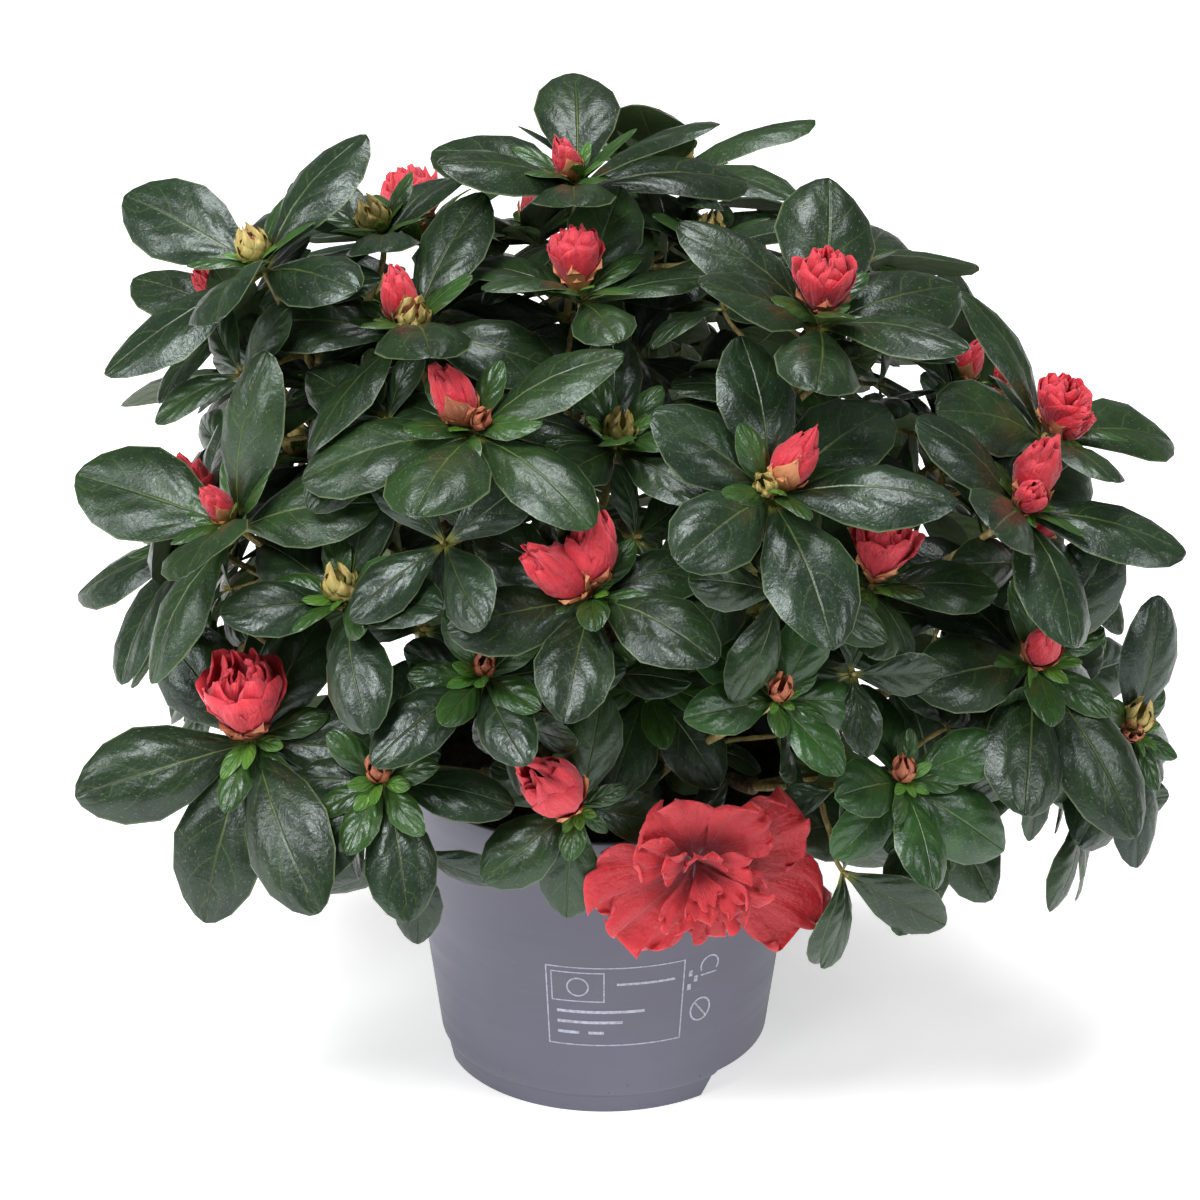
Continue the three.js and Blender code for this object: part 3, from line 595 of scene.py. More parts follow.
# Triangles between a row of the upper side and the sparser row below it.
def endCap(top, below, under):
    faces = []
    for a, b, low, high in zip(under[:-1], under[1:], below[:-1], below[1:]):
        middle = (a + b) // 2
        faces += [(top[i], top[i + 1], low if i < middle else high) for i in range(a, b)]
        faces.append((top[middle], high, low))
    return [[int(v) for v in face] for face in faces if len(set(face)) == 3]


# A blade's map: half the width of each side's strip, the middles of the two, and the size of the caps.
bladeMap = {"half": 0.23, "upper": 0.25, "lower": 0.75, "cap": 0.012}


# Closed thin blades from grids (count, rows, columns, 3): the underside keeps the columns named in
# under, lies thick below along the normals, and shares the rim; both ends are capped.
def closeBlades(points, form):
    under = form["under"]
    count, rows, columns = points.shape[:3]
    inner = list(under[1:-1])
    lower = points[:, :, inner] - gridNormals(points)[:, :, inner] * form["thick"]
    allPoints = np.concatenate([points.reshape(count, -1, 3), lower.reshape(count, -1, 3)], axis=1)
    top = np.arange(rows * columns).reshape(rows, columns)
    below = np.empty((rows, len(under)), dtype=int)
    below[:, 0], below[:, -1] = top[:, 0], top[:, -1]
    below[:, 1:-1] = rows * columns + np.arange(rows * len(inner)).reshape(rows, -1)
    topQuads = gridFaces(rows, columns)
    underQuads = gridFaces(rows, len(under))[:, ::-1]
    underFaces = below.ravel()[underQuads]
    caps = endCap(top[0], below[0], under) + [face[::-1] for face in endCap(top[-1], below[-1], under)]
    faces = topQuads.tolist() + underFaces.tolist() + caps

    grid = np.stack(np.broadcast_arrays(form["alongs"][:, None], form["acrosses"][None, :]), -1)
    upperUv = grid.reshape(-1, 2) * (1, bladeMap["half"]) + (0, bladeMap["upper"])
    underUv = grid[:, list(under)].reshape(-1, 2) * (1, bladeMap["half"]) + (0, bladeMap["lower"])
    turn = 2 * np.pi * np.arange(3) / 3  # the caps lie in the bare strip between the map's two sides
    capUv = 0.5 + bladeMap["cap"] * np.stack([np.cos(turn), np.sin(turn)], -1)
    uv = np.concatenate([upperUv[topQuads.ravel()], underUv[underQuads.ravel()],
                         np.tile(capUv, (len(caps), 1))])

    size = allPoints.shape[1]
    manyFaces = []
    for i in range(count):
        manyFaces.extend([[v + i * size for v in face] for face in faces])
    return allPoints.reshape(-1, 3), manyFaces, np.tile(uv, (count, 1))


# Leaves as grids. A point t of the way along and s across stands at root + t L along + s w(t) across,
# lifted by an arch of sin(pi t), let down by droop t^2, with a groove on the middle line, shoulders
# that rise from it and edges that roll under, and a slow wave along the edge. The half width w(t)
# is the sine of pi t^1.35, to the power 1.05 below its broadest place and 0.64 above it, over a
# narrow stalk.
leafForm = {
    "alongs": np.array([0, 0.1, 0.24, 0.42, 0.6, 0.78, 0.91, 0.98, 1.0]),
    "acrosses": np.array([-1, -0.68, -0.3, 0, 0.3, 0.68, 1]),
    "under": (0, 3, 6), "thick": 0.35, "stalk": 0.02, "tip": 0.01, "shoulder": 0.4,
    "widths": (0.9, 1.12), "twist": 0.16, "droop": (0.07, 0.2), "arch": 0.05, "arches": (0.6, 1.5),
    "roll": 0.56, "rolls": (0.7, 1.35), "wave": 0.08, "waves": (0.2, 1.3), "bent": 0.035,
    "endRow": 5, "shrink": 0.84, "shrinkTries": 3, "seeds": (13, 12, 13, 11, 11, 12),
}


def leafGrids(leaves, seed):
    form = leafForm
    chance = np.random.default_rng(seed)
    n = len(leaves)
    root, along, up, length, width = (np.array([one[key] for one in leaves])
                                      for key in ("root", "along", "up", "length", "width"))
    width = width * chance.uniform(*form["widths"], n)
    twist = chance.normal(0, form["twist"], n)[:, None]
    across = np.cross(up, along)
    across, up = across * np.cos(twist) + up * np.sin(twist), up * np.cos(twist) - across * np.sin(twist)
    t = form["alongs"][None, :, None]
    s = form["acrosses"][None, None, :]
    spread = lambda values: values[:, None, None]
    each = lambda key: spread(chance.uniform(*form[key], n))
    bow = np.sin(np.pi * t**1.35).clip(0)
    outline = bow ** np.where(t < 0.6, 1.05, 0.64)
    narrow = form["stalk"] * (1 - t) + form["tip"] * t
    half = spread(length) * (narrow + spread(width) / 2 * outline)
    droop = each("droop")
    arch = each("arches") * form["arch"]
    roll = each("rolls") * form["roll"]
    wave = each("waves") * form["wave"]
    phase = spread(chance.uniform(0, 6.3, n))
    bent = spread(chance.normal(0, form["bent"], n))
    edge = np.abs(s)
    height = spread(length) * (arch * np.sin(np.pi * t) - droop * t**2)
    height = height + half * (form["shoulder"] * edge - roll * edge**2.4)
    height = height + half * wave * np.sin(8 * t + phase + 1.5 * s) * edge**2
    reach = spread(length) * (t - 0.5 * droop**2 * t**3)
    slant = s * half + spread(length) * bent * t**2
    grow = lambda way, amount: way[:, None, None, :] * amount[..., None]
    return root[:, None, None, :] + grow(along, reach + 0 * s) + grow(across, slant) + grow(up, height)


# A search tree for each grid of a stack of them, and the middle and reach of each.
def gridTrees(grids):
    faces = gridFaces(grids.shape[1], grids.shape[2]).tolist()
    points = grids.reshape(len(grids), -1, 3)
    trees = [BVHTree.FromPolygons(one.tolist(), faces) for one in points]
    middles = points.mean(1)
    return trees, middles, np.linalg.norm(points - middles[:, None], axis=2).max(1)


# A leaf whose end would come out through a leaf of another spray grows shorter.
def keepApart(grids, sprays):
    for _ in range(leafForm["shrinkTries"]):
        ends, endMiddles, endReaches = gridTrees(grids[:, leafForm["endRow"]:])
        plates, plateMiddles, plateReaches = gridTrees(grids[:, 1:-2, 1:-1])
        pressed = []
        for i, end in enumerate(ends):
            gap = np.linalg.norm(plateMiddles - endMiddles[i], axis=1) - plateReaches - endReaches[i]
            near = np.nonzero((gap < 0) & (sprays != sprays[i]))[0]
            if any(end.overlap(plates[j]) for j in near):
                pressed.append(i)
        roots = grids[pressed, :1, 3:4]
        grids[pressed] = roots + (grids[pressed] - roots) * leafForm["shrink"]
        print("leaves drawn in", len(pressed))
    return grids


petalForm = {
    "alongs": np.linspace(0, 1, 7) ** 0.85, "acrosses": np.linspace(-1, 1, 11),
    "under": tuple(range(11)), "thick": 0.35,
}
frilledForm = {  # the open bloom's petals, with room for their frills
    "alongs": np.linspace(0, 1, 15) ** 0.85, "acrosses": np.linspace(-1, 1, 27),
    "under": tuple(range(27)), "thick": 0.35,
}


# Rings of petals, from the outside in. stand is how many there are, or their bearings; reach and rise
# are how far a petal's end lies from the axis and up it; spread is its half width in degrees about
# the axis; cup is how soon it turns upward, close how far its end leans back in, ruffle how high its
# frills stand, skew how far it winds round.
def petalRing(stand, reach, rise, spread, cup, close, ruffle, skew=0):
    petals = {"count": stand} if isinstance(stand, int) else {"bearings": stand}
    return {**petals, "reach": reach, "rise": rise, "spread": spread, "cup": cup, "close": close,
            "ruffle": ruffle, "skew": skew}


# long, deep and radius are the egg that leaves keep clear of; nod lets the flower's upper part fall
bloomForms = {
    "tip": {"long": 19, "radius": 5.2, "rings": [
        petalRing(3, 5.6, 14.5, 74, 1.4, 0.5, 0.5, 30),
        petalRing(3, 5.2, 17, 66, 1.4, 0.6, 0.8, 40),
        petalRing(3, 4.0, 18.8, 58, 1.4, 0.85, 0.9, 50)]},
    "opening": {"long": 28, "radius": 10, "rings": [
        petalRing(3, 9.8, 19.5, 70, 0.8, 0.34, 1.0, 18),
        petalRing(3, 9.6, 23.5, 66, 0.85, 0.48, 1.5, 30),
        petalRing(4, 8.8, 26.5, 50, 0.9, 0.6, 1.8, 42),
        petalRing(4, 6.2, 29, 46, 0.9, 0.72, 1.7, 60)]},
    "rose": {"long": 26, "radius": 12, "rings": [
        petalRing(3, 12.2, 20.5, 66, 0.25, 0.1, 1.0, 4),
        petalRing(3, 12.0, 22, 62, 0.4, 0.2, 1.1, 10),
        petalRing(4, 11.2, 24, 52, 0.55, 0.3, 1.4, 14),
        petalRing(5, 9.8, 25, 48, 0.6, 0.38, 1.6, 18),
        petalRing(5, 7.8, 25.6, 50, 0.6, 0.4, 1.6, 24),
        petalRing(4, 5.0, 26, 60, 0.7, 0.5, 1.4, 30)]},
    "open": {"long": 8, "deep": 13, "radius": 41, "nod": -0.12, "rings": [
        petalRing((-38,), 52, 0, 27, 0.2, 0.0, 2.4),
        petalRing((86,), 21, 4, 34, 0.3, 0.0, 1.2),
        petalRing((12, 190), 37, 1, 36, 0.25, 0.0, 2.4),
        petalRing((-82,), 30, 2, 32, 0.3, 0.0, 2.2),
        petalRing((-130,), 37, 1, 32, 0.3, 0.0, 2.8),
        petalRing((50, 122), 29, 7, 42, 0.35, 0.0, 2.2),
        petalRing((-16, -62, -112, 165), 25, 9, 26, 0.4, 0.0, 2.8),
        petalRing((-95, -42, 18, 150), 16, 12, 32, 0.6, 0.0, 2.8),
        petalRing((60, 115, -80), 9, 11, 46, 0.65, 0.0, 2.2)]},
}
closedBud = {"long": 13, "radius": 4.5}
# Bud scales: short pointed petals. Those that clasp a bloom follow its outer petals for a share of
# their length, a hair outside them; those of a closed bud have their own rings.
claspRings = {
    "tip": [{"count": 2, "share": 0.85, "spread": 54}, {"count": 5, "share": 0.5, "spread": 44}],
    "opening": [{"count": 4, "share": 0.58, "spread": 38}, {"count": 5, "share": 0.34, "spread": 44}],
    "rose": [{"count": 4, "share": 0.6, "spread": 44}, {"count": 5, "share": 0.36, "spread": 46}],
    "open": [{"count": 5, "share": 0.2, "spread": 36}],
}
budRings = {
    "green": [
        petalRing(4, 4.4, 14, 62, 2.2, 0.85, 0.0),
        petalRing(5, 5.0, 11, 46, 2.2, 0.4, 0.15),
        petalRing(5, 5.4, 7.5, 42, 2.0, 0.1, 0.2)],
    "slim": [
        petalRing(4, 2.8, 11.5, 60, 2.2, 0.85, 0.0),
        petalRing(4, 3.3, 8, 50, 2.2, 0.35, 0.15)],
}
scaleForm = {
    "alongs": np.array([0, 0.2, 0.42, 0.64, 0.84, 1.0]), "acrosses": np.array([-1, -0.5, 0, 0.5, 1]),
    "under": (0, 2, 4), "thick": 0.3, "clear": 0.9, "loose": 1.1,
}
frills = ((3.4, 0.8), (6.2, 0.65), (9.6, 0.35))  # waves in a petal's half width, and their heights
petalSway = {"bearing": 6, "size": 0.04, "spread": 0.06, "close": 0.07, "pace": (0.85, 1.2)}


def scaleRings(kind):
    if kind in budRings:
        return budRings[kind]
    outer = bloomForms[kind]["rings"][0]
    return [{**outer, "ruffle": 0.2, "skew": 0, **clasp} for clasp in claspRings[kind]]


# How wide a petal is along its length, as a share of its spread. Bud scales come to a point.
def petalOutline(t, pointed):
    if pointed:
        return np.sin(np.pi * (0.22 + 0.78 * t**0.8)) ** 0.8 + 0.05 * (1 - t)
    outline = 0.25 + 0.75 * np.sin(np.pi / 2 * np.clip(t / 0.6, 0, 1))
    return outline * (1 - 0.3 * np.clip((t - 0.55) / 0.45, 0, 1) ** 2)


# The crinkles of a petal: sines across it, each with its own pace and phase.
def petalFrill(s, t, pace, chance):
    frill = 0
    for waves, height in frills:
        wave = waves * chance.uniform(*petalSway["pace"]) * pace
        frill = frill + height * np.sin(wave * s + chance.uniform(0, 6.3) + 1.5 * t)
    return frill


# Petals that stand round an axis. At t along and s across, the bearing is the petal's own plus
# s times its spread times an outline, the distance from the axis is reach times 1 - (1 - t)^(1 + cup)
# (less close t^4), the height is rise times t^1.15, and the free edge is crinkled by three sines
# of s that grow with t^3. The open bloom's flat petals crinkle up and down, the standing ones in and
# out over shallow lengthwise folds.
def petalGrids(rings, form, bloom, size, chance, pointed=False):
    grids = []
    flat = form is frilledForm
    clasps = "share" in rings[0]
    s = form["acrosses"][None, :]
    t = form["alongs"][:, None]
    right = around(bloom["axis"], 0)
    above = around(bloom["axis"], 90)
    nod = bloomForms.get(bloom["kind"], {}).get("nod", 0)
    start = -90 + 180 / rings[0]["count"] if clasps else chance.uniform(0, 360)
    outline = petalOutline(t, pointed)
    rounding = (0.3 if pointed else 0.22) * t**3 * s**2
    for level, ring in enumerate(rings):
        count = ring.get("count", 1)
        evenly = [start + 360 * (i + 0.5 * (level % 2)) / count for i in range(count)]
        for bearing in ring.get("bearings", evenly):
            bearing = bearing + chance.normal(0, petalSway["bearing"])
            grown = size * (scaleForm["loose"] if clasps else chance.normal(1, petalSway["size"]))
            frill = petalFrill(s, t, 1.3 if flat else 1, chance) * ring["ruffle"] * size * t**3
            spread = ring["spread"] * chance.normal(1, petalSway["spread"])
            turn = bearing + spread * s * outline + ring["skew"] * t
            turn = np.radians(turn + frill * np.cos(5 * s) * 3)
            u = t * ring.get("share", 1)
            close = ring["close"] + (0 if flat or pointed else chance.normal(0, petalSway["close"]))
            out = ring["reach"] * grown * (1 - (1 - u) ** (1 + ring["cup"])) * (1 - close * u**4)
            rise = ring["rise"] * grown * (np.sin(np.pi * 0.62 * u) ** 1.1 if flat else u**1.15)
            folds = 0.035 * ring["reach"] * size * np.sin(8 * s + 1.7 * bearing) * np.sin(np.pi * t)
            if flat:
                out = out * (1 - rounding) + 0.25 * frill
                rise = rise + frill
            else:
                out = out + 0.6 * frill + (scaleForm["clear"] if pointed else folds)
                rise = rise * (1 - rounding) + 0.3 * frill * np.sin(4 * s)
            away = (right * np.cos(turn)[..., None] + above * np.sin(turn)[..., None]) * out[..., None]
            lifted = (rise + nod * (away @ above) + 0 * s)[..., None]
            grids.append(bloom["base"] + bloom["axis"] * lifted + away)
    return grids


# Where a bloom leans, as a bearing about the shoot's axis and how far.
leanings = {"left": (180, 0.45), "over": (180, 1.0), "right": (0, 0.45), "up": (90, 0.4)}
budding = {
    "rise": 0.7, "sizes": (0.85, 1.1), "nextLean": 0.75, "nextTurn": 160, "turns": (0, 60), "sway": 0.16,
    "start": 1.0, "nextStart": 2.5,
}
bloomEggs = {"long": 0.95, "radius": 0.92}  # shares of the form that leaves keep clear of


# Reads what a shoot bears, such as "opening 0.8 left slim", as kinds with sizes and leanings and
# stands them on its tip: the first near the axis, the others round it and leaning out.
def bloomsOf(shoot, order):
    words = shoot["bears"].split()
    chance = np.random.default_rng(5000 + order)
    found = []
    while words:
        kind = words.pop(0)
        sized = words and words[0][0].isdigit()
        size = float(words.pop(0)) if sized else chance.uniform(*budding["sizes"])
        leant = words and words[0] in leanings
        axis = unit(shoot["axis"] + skyward * (0 if kind == "open" else budding["rise"]))
        if leant:
            bearing, far = leanings[words.pop(0)]
            axis = unit(axis + far * around(shoot["axis"], bearing))
        elif found:
            bearing = chance.uniform(*budding["turns"]) + budding["nextTurn"] * len(found)
            axis = unit(axis + budding["nextLean"] * around(shoot["axis"], bearing))
        elif kind != "open":
            axis = unit(axis + budding["sway"] * chance.normal(0, 1, 3))
        base = shoot["tip"] + axis * budding["nextStart" if found else "start"]
        found.append({"kind": kind, "size": size, "axis": axis, "base": base})
    return found


def bloomEgg(bloom):
    form = bloomForms.get(bloom["kind"], closedBud)
    size, wide = bloom["size"], bloom["kind"] == "open"
    middle = bloom["base"] + bloom["axis"] * form["long"] * size * 0.5
    half = form.get("deep", form["long"] * 0.5) * size * bloomEggs["long"]
    radius = form["radius"] * size * bloomEggs["radius"]
    light = None
    if wide:
        light = (heading(*openBloom["light"]), openBloom["lightLength"], openBloom["lightRadius"])
    elif bloom["kind"] in bloomForms:
        bearing = math.degrees(math.atan2(middle[1], middle[0]))
        light = (heading(bearing, bloomLight["rise"]), bloomLight["length"], radius * bloomLight["share"])
    return {"middle": middle, "axis": bloom["axis"], "half": half, "radius": radius, "light": light,
            "wide": wide}


# Tapered tubes along rows of centres (count, steps, 3). Each ring lies square to the path, its side
# direction carried on from the ring before; relief (count, steps, sides) scales the radii.
def limbPoints(centres, radii, sides, relief):
    ways = unit(np.gradient(centres, axis=1))
    side = np.tile(np.array([1.0, 0.2, 0.1]), (len(centres), 1))
    rings = []
    for step in range(centres.shape[1]):
        way = ways[:, step]
        side = unit(side - way * (side * way).sum(1, keepdims=True))
        rings.append(np.stack([side, np.cross(way, side)], axis=1))
    frames = np.stack(rings, axis=1)
    turn = 2 * np.pi * np.arange(sides) / sides
    circle = frames[:, :, None, 0] * np.cos(turn)[:, None] + frames[:, :, None, 1] * np.sin(turn)[:, None]
    return centres[:, :, None] + circle * (radii[:, :, None] * relief)[..., None]


def limbFaces(count, steps, sides):
    one = gridFaces(steps, sides, wrapped=True)[:, ::-1]
    size = steps * sides
    faces = (one[None] + (np.arange(count) * size)[:, None, None]).reshape(-1, 4).tolist()
    for i in range(count):
        first = list(range(i * size, i * size + sides))
        last = list(range((i + 1) * size - sides, (i + 1) * size))
        faces += [first[::-1], last]
    return faces


twigForm = {
    "lead": (1.6, 1.1), "side": (1.25, 0.95), "spur": (0.95, 0.7), "steps": 16, "sides": 7, "scar": 0.13,
    "wander": 0.16, "past": 1.2, "rough": 0.05,
}


# Twigs taper from base to tip, with a scar at every third ring, and wander by a random walk that is
# held at both ends by sin(pi t).
def makeTwigs(shoots, name, material, seed):
    form = twigForm
    chance = np.random.default_rng(seed)
    steps = np.linspace(0, 1, form["steps"])
    scars = 1 + form["scar"] * (np.arange(len(steps)) % 3 == 1)
    centres, radii = [], []
    for shoot in shoots:
        base, tip = form[shoot["kind"]]
        walk = np.cumsum(chance.normal(0, form["wander"], (len(steps), 3)), axis=0)
        path = bendPoints(shoot["bend"], steps) + np.sin(steps * np.pi)[:, None] * walk
        path[0] = shoot["from"]
        path[-1] = shoot["tip"] + shoot["axis"] * form["past"]
        centres.append(path)
        radii.append((base + (tip - base) * steps) * scars)
    relief = 1 + chance.normal(0, form["rough"], (len(shoots), len(steps), form["sides"]))
    points = limbPoints(np.array(centres), np.array(radii), form["sides"], relief)
    return makeMesh(name, points, limbFaces(*points.shape[:3]), material)


stemForm = {
    "soilLevel": 98, "rows": 40, "sides": 28, "ridge": 0.07,
    "heights": np.array([-4, 0, 3, 8, 13, 17, 20, 24, 28, 30.5, 31.8]),
    "radii": np.array([12.5, 11, 8.6, 7.2, 6.6, 7.2, 8.2, 8.6, 7.0, 4.4, 1.2]),
}
barkForm = {
    "base": 3.1, "tip": 2.1, "steps": 26, "sides": 14, "wander": 0.2, "inside": 3, "past": 1.5,
    "swelling": 0.1, "knuckle": 1.0, "rough": 0.07,
}


# The stem: a turned shape with a flared foot, a waist and a knuckled fork, its radius scaled by
# ridges that run up it with a slow twist.
def stemPoints():
    form = stemForm
    heights = form["heights"] + form["soilLevel"]
    levels = np.linspace(heights[0], heights[-1], form["rows"])
    turn = 2 * np.pi * np.arange(form["sides"]) / form["sides"]
    climb = levels[:, None] * 0.09
    ridges = np.sin(5 * turn + climb) + 0.6 * np.sin(9 * turn - 1.7 * climb + 1)
    relief = 1 + form["ridge"] * (ridges + 0.5 * np.sin(3 * turn + 6 * climb))
    centres = np.stack([0.6 * np.sin(levels * 0.2), 0.5 * np.cos(levels * 0.17), levels], -1)[None]
    return limbPoints(centres, np.interp(levels, heights, form["radii"])[None], form["sides"], relief[None])


# The boughs: limbs that start inside the fork, wander, swell and shrink, and end in a knuckle.
def boughPoints():
    form = barkForm
    chance = np.random.default_rng(17)
    steps = np.linspace(0, 1, form["steps"])
    paths, widths = [], []
    for row in boughs.values():
        path = bendPoints(boughBend(row), steps)
        walk = np.cumsum(chance.normal(0, form["wander"], path.shape), axis=0)
        path = path + np.sin(steps * np.pi)[:, None] * walk
        inner = crown["heart"] + heading(row["from"], row["rise"]) * form["inside"]
        paths.append(np.vstack([inner, path, path[-1:] + form["past"] * unit(path[-1] - path[-2])]))
        width = form["base"] + (form["tip"] - form["base"]) * steps
        width = width * (1 + form["swelling"] * np.sin(steps * 22 + chance.uniform(0, 6)))
        width = width + form["knuckle"] * np.exp(-((1 - steps) / 0.05) ** 2)
        widths.append(np.concatenate([[form["base"] * 1.5], width, [0.6]]))
    relief = 1 + chance.normal(0, form["rough"], (len(paths), len(paths[0]), form["sides"]))
    return limbPoints(np.array(paths), np.array(widths), form["sides"], relief)


def makeBark(material):
    points, faces = joined([(limbs, limbFaces(*limbs.shape[:3])) for limbs in (stemPoints(), boughPoints())])
    nodes = ["stem"] + ["bough_" + name for name in boughs]
    return makeMesh("barkStemBoughs", points, faces, material, nodes, sharpAngle=75)


def linear(colour):
    channel = lambda value: (value / 255 / 12.92) if value < 10.3 else ((value / 255 + 0.055) / 1.055) ** 2.4
    return (*(channel(value) for value in colour), 1)


class Nodes:
    # Shorthand for building node trees. A colour is given as red, green and blue from 0 to 255.
    def __init__(self, tree):
        self.tree = tree

    def add(self, kind, inputs=(), **settings):
        node = self.tree.nodes.new(kind)
        for key, value in settings.items():
            setattr(node, key, value)
        for key, value in dict(inputs).items():
            self.feed(node, key, value)
        return node

    def feed(self, node, key, value):
        socket = node.inputs[key]
        if isinstance(value, bpy.types.NodeSocket):
            self.tree.links.new(value, socket)
        else:
            socket.default_value = value

    def math(self, operation, a, b=0.0, c=0.0):
        return self.add("ShaderNodeMath", {0: a, 1: b, 2: c}, operation=operation).outputs[0]

    def times(self, a, b, plus=None):
        return self.math("MULTIPLY", a, b) if plus is None else self.math("MULTIPLY_ADD", a, b, plus)

    def remap(self, value, low, high, toLow=0.0, toHigh=1.0):
        inputs = {"Value": value, "From Min": low, "From Max": high, "To Min": toLow, "To Max": toHigh}
        return self.add("ShaderNodeMapRange", inputs, interpolation_type="SMOOTHSTEP").outputs["Result"]

    def mix(self, share, a, b):
        first, second = (linear(one) if isinstance(one, tuple) else one for one in (a, b))
        return self.add("ShaderNodeMix", {0: share, 6: first, 7: second}, data_type="RGBA").outputs[2]

    def noise(self, vector, scale, detail=3.0, roughness=0.55):
        inputs = {"Vector": vector, "Scale": scale, "Detail": detail, "Roughness": roughness}
        return self.add("ShaderNodeTexNoise", inputs).outputs["Fac"]

    # Noise that is stretched: finer along the axes whose scale is larger.
    def streaks(self, vector, scale, detail, roughness):
        stretched = self.add("ShaderNodeMapping", {"Vector": vector, "Scale": scale}).outputs["Vector"]
        return self.noise(stretched, 1.0, detail, roughness)

    def bladeUv(self):
        return self.add("ShaderNodeUVMap", uv_map="OFBake").outputs[0]

    def group(self, tree, **inputs):
        node = self.add("ShaderNodeGroup", node_tree=tree)
        for key, value in inputs.items():
            self.feed(node, key, value)
        return node.outputs


class Surface(Nodes):
    # A new material and its shader.
    def __init__(self, name):
        self.material = bpy.data.materials.new(name)
        self.material.use_nodes = True
        super().__init__(self.material.node_tree)
        self.shader = self.tree.nodes["Principled BSDF"]

    # The place on the object, in metres.
    def spot(self):
        return self.add("ShaderNodeTexCoord").outputs["Object"]

    def set(self, **values):
        for key, value in values.items():
            self.feed(self.shader, key.replace("_", " "), value)

    def bump(self, height, strength, distance):
        inputs = {"Height": height, "Strength": strength, "Distance": distance}
        self.set(Normal=self.add("ShaderNodeBump", inputs).outputs["Normal"])


# An empty node group. An input comes with its default value, or with None where it is a vector.
def newGroup(name, inputs, outputs):
    tree = bpy.data.node_groups.new(name, "ShaderNodeTree")
    for label, value in inputs.items():
        kind = "NodeSocketVector" if value is None else "NodeSocketFloat"
        socket = tree.interface.new_socket(label, in_out="INPUT", socket_type=kind)
        if value is not None:
            socket.default_value = value
    for label in outputs:
        tree.interface.new_socket(label, in_out="OUTPUT", socket_type="NodeSocketFloat")
    return Nodes(tree), tree.nodes.new("NodeGroupInput").outputs, tree.nodes.new("NodeGroupOutput")


# Masks that follow a blade from its own map: rib on the middle line, veins that curve to the tip,
# puffs between them, the rim, which face is the underside, and how far along the blade.
def bladeGroup():
    inputs = {"Veins": 7.0, "Slant": 0.32, "Wander": 0.0}
    nodes, given, made = newGroup("bladePattern", inputs, ("Rib", "Vein", "Puff", "Rim", "Under", "Along"))
    uv = nodes.bladeUv()
    parts = nodes.add("ShaderNodeSeparateXYZ", {0: uv}).outputs
    along = parts["X"]
    folded = nodes.math("FRACT", nodes.times(parts["Y"], 2.0))
    signed = nodes.math("DIVIDE", nodes.math("SUBTRACT", folded, 0.5), 2 * bladeMap["half"])
    across = nodes.math("ABSOLUTE", signed)
    curved = nodes.times(nodes.math("POWER", across, 1.35), given["Slant"])
    order = nodes.times(nodes.math("SUBTRACT", along, curved), given["Veins"])
    order = nodes.math("ADD", order, nodes.times(nodes.math("GREATER_THAN", signed, 0.0), 0.43))
    drift = nodes.math("SUBTRACT", nodes.noise(uv, 5.0, 2.0), 0.5)
    phase = nodes.math("PINGPONG", nodes.times(drift, given["Wander"], order), 0.5)
    vein = nodes.times(nodes.remap(phase, 0.0, 0.06, 1.0, 0.0), nodes.remap(across, 0.5, 0.92, 1.0, 0.0))
    puff = nodes.times(nodes.remap(phase, 0.0, 0.5), nodes.remap(across, 0.0, 0.3))
    masks = {
        "Rib": nodes.remap(across, 0.0, 0.05, 1.0, 0.0), "Vein": vein,
        "Puff": nodes.times(puff, nodes.remap(across, 0.55, 1.0, 1.0, 0.25)),
        "Rim": nodes.remap(across, 0.95, 1.0), "Under": nodes.math("GREATER_THAN", parts["Y"], 0.5),
        "Along": along,
    }
    for label, mask in masks.items():
        nodes.feed(made, label, mask)
    return nodes.tree


# Specks and mottling on any surface: a soft mask at one scale, a fine one at another, both 0 to 1.
def grainGroup():
    inputs = {"Vector": None, "Broad": 30.0, "Fine": 400.0}
    nodes, given, made = newGroup("grain", inputs, ("Mottle", "Speck"))
    broad = nodes.noise(given["Vector"], given["Broad"], 3.0)
    fine = nodes.noise(given["Vector"], given["Fine"], 2.0, 0.6)
    nodes.feed(made, "Mottle", nodes.remap(broad, 0.3, 0.7))
    nodes.feed(made, "Speck", nodes.remap(fine, 0.35, 0.7))
    return nodes.tree


bladePattern = bladeGroup()
grain = grainGroup()


leafColours = {
    "oldDeep": {"face": (20, 35, 17), "light": (31, 50, 24), "under": (84, 104, 66), "gloss": 0.31},
    "oldMid": {"face": (25, 43, 19), "light": (38, 61, 28), "under": (92, 114, 68), "gloss": 0.33},
    "oldCool": {"face": (22, 37, 22), "light": (34, 53, 31), "under": (88, 106, 74), "gloss": 0.29},
    "fresh": {"face": (27, 55, 21), "light": (42, 77, 30), "under": (98, 126, 68), "gloss": 0.31},
    "young": {"face": (32, 58, 22), "light": (48, 80, 30), "under": (102, 136, 66), "gloss": 0.29},
    "tender": {"face": (56, 96, 30), "light": (84, 128, 44), "under": (118, 152, 66), "gloss": 0.33},
}
leafMarks = {
    "vein": (92, 112, 58), "rib": (112, 128, 62), "stalk": (150, 152, 74), "rim": (140, 156, 112),
    "hair": (178, 192, 176), "hairScale": (28.5, 144, 1), "pillow": 330.0, "grain": 1000.0,
    "relief": 0.0009, "shine": (0.88, 0.96, 0.97, 1.0),
}


